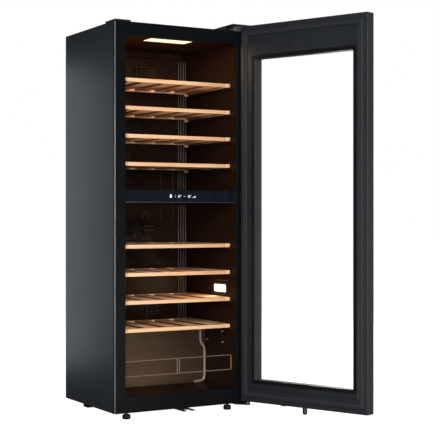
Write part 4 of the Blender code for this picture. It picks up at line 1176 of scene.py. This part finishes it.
# %% Turn the levelling feet
KNURLS = 28
KNURL_DEPTH = 0.022
KNURLED_ROWS = range(3, 7)
THREAD_PITCH = 0.00125
THREAD_ROOT = 0.0034
THREAD_CREST = 0.0040
CAP_NECK = 0.0096
CAP_TOP = 0.0156
CAP_RIM = (
    (0.0012, 0.0), (0.0002, 0.0010), (0.0, 0.0022), (0.0, 0.0060), (0.0, 0.0090), (0.0, 0.0118),
    (0.0008, 0.0132),
)


def knurl(row, angle):
    wave = math.cos(KNURLS * angle) if row in KNURLED_ROWS else -1
    return 1 + KNURL_DEPTH * wave - KNURL_DEPTH


def draw_foot(low, high):
    middle = (low + high) / 2
    radius = (high.x - low.x) / 2
    cap = [(CAP_NECK, 0.0), *((radius - inset, height) for inset, height in CAP_RIM)]
    cap += [(CAP_NECK, 0.0150), (0.0070, CAP_TOP)]
    stem = [(THREAD_ROOT, CAP_TOP)]
    height = CAP_TOP + 0.0002
    while height < high.z - low.z - THREAD_PITCH:
        stem += [(THREAD_ROOT, height), (THREAD_CREST, height + THREAD_PITCH / 2)]
        height += THREAD_PITCH
    stem.append((THREAD_ROOT, height))

    def draw(shape):
        lathe(shape, cap, (middle.x, middle.y, low.z), KNURLS * 3, knurl)
        lathe(shape, stem, (middle.x, middle.y, low.z), 20)

    return draw


for side in ("left", "right"):
    node = f"front_foot_{side}"
    drawn(node + "_knurled", node, "nylon", draw_foot(*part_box(node)), (node,), crease=50)
print("knurls on each foot", KNURLS)

# %% [markdown]
# ## Rounded fittings
# Hinge leaves, lock plate, rear feet and caps are pressed or moulded, so none of their edges is sharp. A
# copy of each gets a bevel as wide as its real edge, and stands in for the hard-edged solid.

# %% A helper that rounds a copy of a part
body_of = {name: body for body, names in frame["record"]["behaviour"]["bodies"].items() for name in names}
SAME_POINT = 0.00001
ROUND_FROM = 30
CREASE_FROM = 60


def eased_copy(node, width):
    """Stands a copy with rounded edges in for a hard-edged part."""
    shape = bmesh.new()
    shape.from_mesh(frame["nodes"][node].data)
    bmesh.ops.remove_doubles(shape, verts=shape.verts, dist=SAME_POINT)
    bmesh.ops.dissolve_limit(shape, angle_limit=math.radians(1), verts=shape.verts, edges=shape.edges)
    mesh = bpy.data.meshes.new(node + "_eased")
    shape.to_mesh(mesh)
    shape.free()
    obj = bpy.data.objects.new(node + "_eased", mesh)
    bpy.context.scene.collection.objects.link(obj)
    round_over = obj.modifiers.new("round_over", "BEVEL")
    round_over.width = width
    round_over.segments = 2
    round_over.limit_method = "ANGLE"
    round_over.angle_limit = math.radians(ROUND_FROM)
    round_over.harden_normals = True
    mesh.shade_smooth()
    mesh.set_sharp_from_angle(angle=math.radians(CREASE_FROM))
    return hang(obj, body_of[node], slot_of[node], (node,))


print("parts on bodies", len(body_of))

# %% Round the edges of the small fittings
ROUNDED = {
    "strike_plate": 0.0005,
    "bottom_hinge": 0.0005,
    "top_hinge": 0.0004,
    "top_hinge_cover": 0.0012,
    "rear_foot_left": 0.0012,
    "rear_foot_right": 0.0012,
    "partition": 0.0010,
    "power_box": 0.0020,
    "drip_tray": 0.0005,
    "mains_inlet": 0.0008,
    "bay_floor": 0.0004,
    "back_panel": 0.0003,
    "compressor_cover": 0.0003,
    "lock_plug": 0.0003,
}
for node, width in ROUNDED.items():
    eased_copy(node, width)
print("rounded", len(ROUNDED), "fittings")

# %% [markdown]
# ## Screws
# Screws say how a thing is put together. Each is a low domed head with a cross recess, turned by a seeded
# angle, because nobody lines them up. One mesh holds the screws of a plate.

# %% Draw a screw
turns = random.Random(11)
SCREW_PROFILE = ((1.0, 0), (1.0, 0.35), (0.85, 0.8), (0.5, 1.0), (0.34, 1.0), (0.16, 0.35))
HEAD_RISE = 0.45
RECESS_ROW = 4
RECESS_DEPTH = 0.25


def recess(row, angle):
    return 1 + (RECESS_DEPTH * math.cos(4 * angle) if row >= RECESS_ROW else 0)


def screw(shape, place, normal, radius):
    """A domed head with a cross recess, turned by the next angle of the draw."""
    upright = Vector(normal).to_track_quat("Z", "Y").to_matrix()
    turn = upright @ Matrix.Rotation(turns.uniform(0, 3), 3, "Z")
    rise = radius * HEAD_RISE
    profile = [(radius * share, rise * height) for share, height in SCREW_PROFILE]
    lathe(shape, profile, place, 16, recess, turn)


print("points in a screw's profile", len(SCREW_PROFILE))

# %% Set the screws
BACK_HEIGHTS = (0.50, 0.80, 1.08)


def screw_set(name, places, normal, radius):
    def draw(shape):
        for place in places:
            screw(shape, place, normal, radius)

    drawn(name, "cabinet", "galvanised", draw)
    print(name, len(places))


cover_low, cover_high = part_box("compressor_cover")
cover_places = [
    Vector((x, cover_high.y, z))
    for x in (cover_low.x + 0.014, MIDDLE_X, cover_high.x - 0.014)
    for z in (cover_low.z + 0.012, cover_high.z - 0.010)
]
screw_set("cover_screws", cover_places, (0, 1, 0), 0.0035)
sheet_low, sheet_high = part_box("back_panel")
sheet_places = [
    Vector((x, sheet_high.y, z))
    for x in (sheet_low.x + 0.012, sheet_high.x - 0.012)
    for z in (sheet_low.z + 0.06, *BACK_HEIGHTS, sheet_high.z - 0.02)
]
screw_set("back_panel_screws", sheet_places, (0, 1, 0), 0.0035)
hinge_low, hinge_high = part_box("bottom_hinge")
hinge_places = [Vector((hinge_low.x + 0.012, hinge_high.y - y, hinge_low.z)) for y in (0.010, 0.030)]
screw_set("bottom_hinge_screws", hinge_places, (0, 0, -1), 0.0030)
plate_low, plate_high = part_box("strike_plate")
plate_places = [Vector((MIDDLE_X + x, plate_high.y - 0.008, plate_low.z)) for x in (-0.013, 0.013)]
screw_set("strike_screws", plate_places, (0, 0, -1), 0.0026)

# %% [markdown]
# ## Studio
# The cooler stands on a plain white floor before a white ground, as on a shop's page. The ground is white to
# look at but lights the cooler only weakly, because a ground that bright would wash out every black part. The
# floor is kept out of reflections for the same reason.

# %% A helper that hangs a soft light


def soft_light(name, place, aim, size, power, colour=(1, 1, 1)):
    data = bpy.data.lights.new(name, "AREA")
    data.shape = "RECTANGLE"
    data.size, data.size_y = size
    data.energy = power
    data.color = colour
    light = bpy.data.objects.new(name, data)
    light.location = place
    light.visible_camera = False
    light.rotation_euler = (Vector(aim) - Vector(place)).to_track_quat("-Z", "Y").to_euler()
    bpy.context.scene.collection.objects.link(light)


print("soft lights are rectangles, hidden from the camera")

# %% Lay the ground and the floor
GROUND_TINT = (0.93, 0.96, 1.0, 1)
FLOOR_REACH = 30.0
FLOOR_BELOW = 0.0005


def white_ground(ambient):
    """A ground that is white to look at but lights the object only softly."""
    world = bpy.data.worlds.new("ground")
    world.use_nodes = True
    tree = world.node_tree
    tree.nodes.clear()
    path = tree.nodes.new("ShaderNodeLightPath")
    seen = tree.nodes.new("ShaderNodeBackground")
    seen.inputs["Strength"].default_value = 1.0
    seen.inputs["Color"].default_value = (1, 1, 1, 1)
    lit = tree.nodes.new("ShaderNodeBackground")
    lit.inputs["Strength"].default_value = ambient
    lit.inputs["Color"].default_value = GROUND_TINT
    either = tree.nodes.new("ShaderNodeMixShader")
    out = tree.nodes.new("ShaderNodeOutputWorld")
    tree.links.new(path.outputs["Is Camera Ray"], either.inputs[0])
    tree.links.new(lit.outputs[0], either.inputs[1])
    tree.links.new(seen.outputs[0], either.inputs[2])
    tree.links.new(either.outputs[0], out.inputs["Surface"])
    bpy.context.scene.world = world


def floor():
    """A white floor a hair below the feet, so that it never fights with their undersides."""
    mesh = bpy.data.meshes.new("studio_floor")
    corners = [(x * FLOOR_REACH, y * FLOOR_REACH, 0) for x, y in ((-1, -1), (1, -1), (1, 1), (-1, 1))]
    mesh.from_pydata(corners, [], [(0, 1, 2, 3)])
    ground = bpy.data.objects.new("studio_floor", mesh)
    ground.location.z = -FLOOR_BELOW
    ground.visible_diffuse = False
    ground.visible_glossy = False
    finish = Finish("studio_floor", Roughness=0.9, Emission_Color=(1, 1, 1), Emission_Strength=1.0)
    speck = finish.noise(finish.place(), 3.0)
    finish.feed(Base_Color=finish.mix(speck, (0.30, 0.30, 0.30), (0.34, 0.34, 0.34)))
    mesh.materials.append(finish.material)
    bpy.context.scene.collection.objects.link(ground)


white_ground(0.05)
floor()
print("floor", 2 * FLOOR_REACH, "m wide")

# %% [markdown]
# ## Lights
# One large soft light beside the camera brightens the boards. A low warm one in front lifts their undersides.
# A narrow upright strip behind on the left is mirrored in the satin side, brightest at the rear edge at half
# height, and a wide one behind on the right shapes the far side. Both lamps inside get a real area light just
# off their lens, because a glowing lens alone lights a dark liner with a lot of noise.

# %% Light the studio
WARM = (1.0, 0.72, 0.42)
COOL = (0.88, 0.95, 1.0)
FLOOR_GLOW = (1.0, 0.88, 0.74)
LENS_GAP = 0.002


def lens_front(node, axis):
    """The middle of a lamp's lens, a hair off the face that looks into the room."""
    low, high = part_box(node)
    place = (low + high) / 2
    place[axis] = low[axis] - LENS_GAP
    return place


ceiling = lens_front("ceiling_lamp_lens", 2)
wall = lens_front("side_lamp_lens", 0)
soft_light("key", spot(-1.5, -2.7, 1.35), spot(0, 0.1, 0.6), (1.5, 1.7), 118)
soft_light("low_front", spot(-0.25, -1.5, 0.06), spot(0, 0.2, 1.0), (1.0, 0.25), 18, FLOOR_GLOW)
soft_light("rear_left", spot(-0.46, 0.85, 0.64), spot(-0.24, 0.34, 0.64), (0.12, 1.15), 0.95, COOL)
soft_light("right_rear", spot(2.6, 1.7, 1.5), spot(0.2, 0.2, 0.65), (1.6, 2.0), 70)
soft_light("ceiling_lamp", ceiling, ceiling - Vector((0, 0, 1)), (0.14, 0.05), 0.85, WARM)
soft_light("side_lamp", wall, spot(-0.03, 0.337, 0.400), (0.07, 0.025), 0.30, WARM)
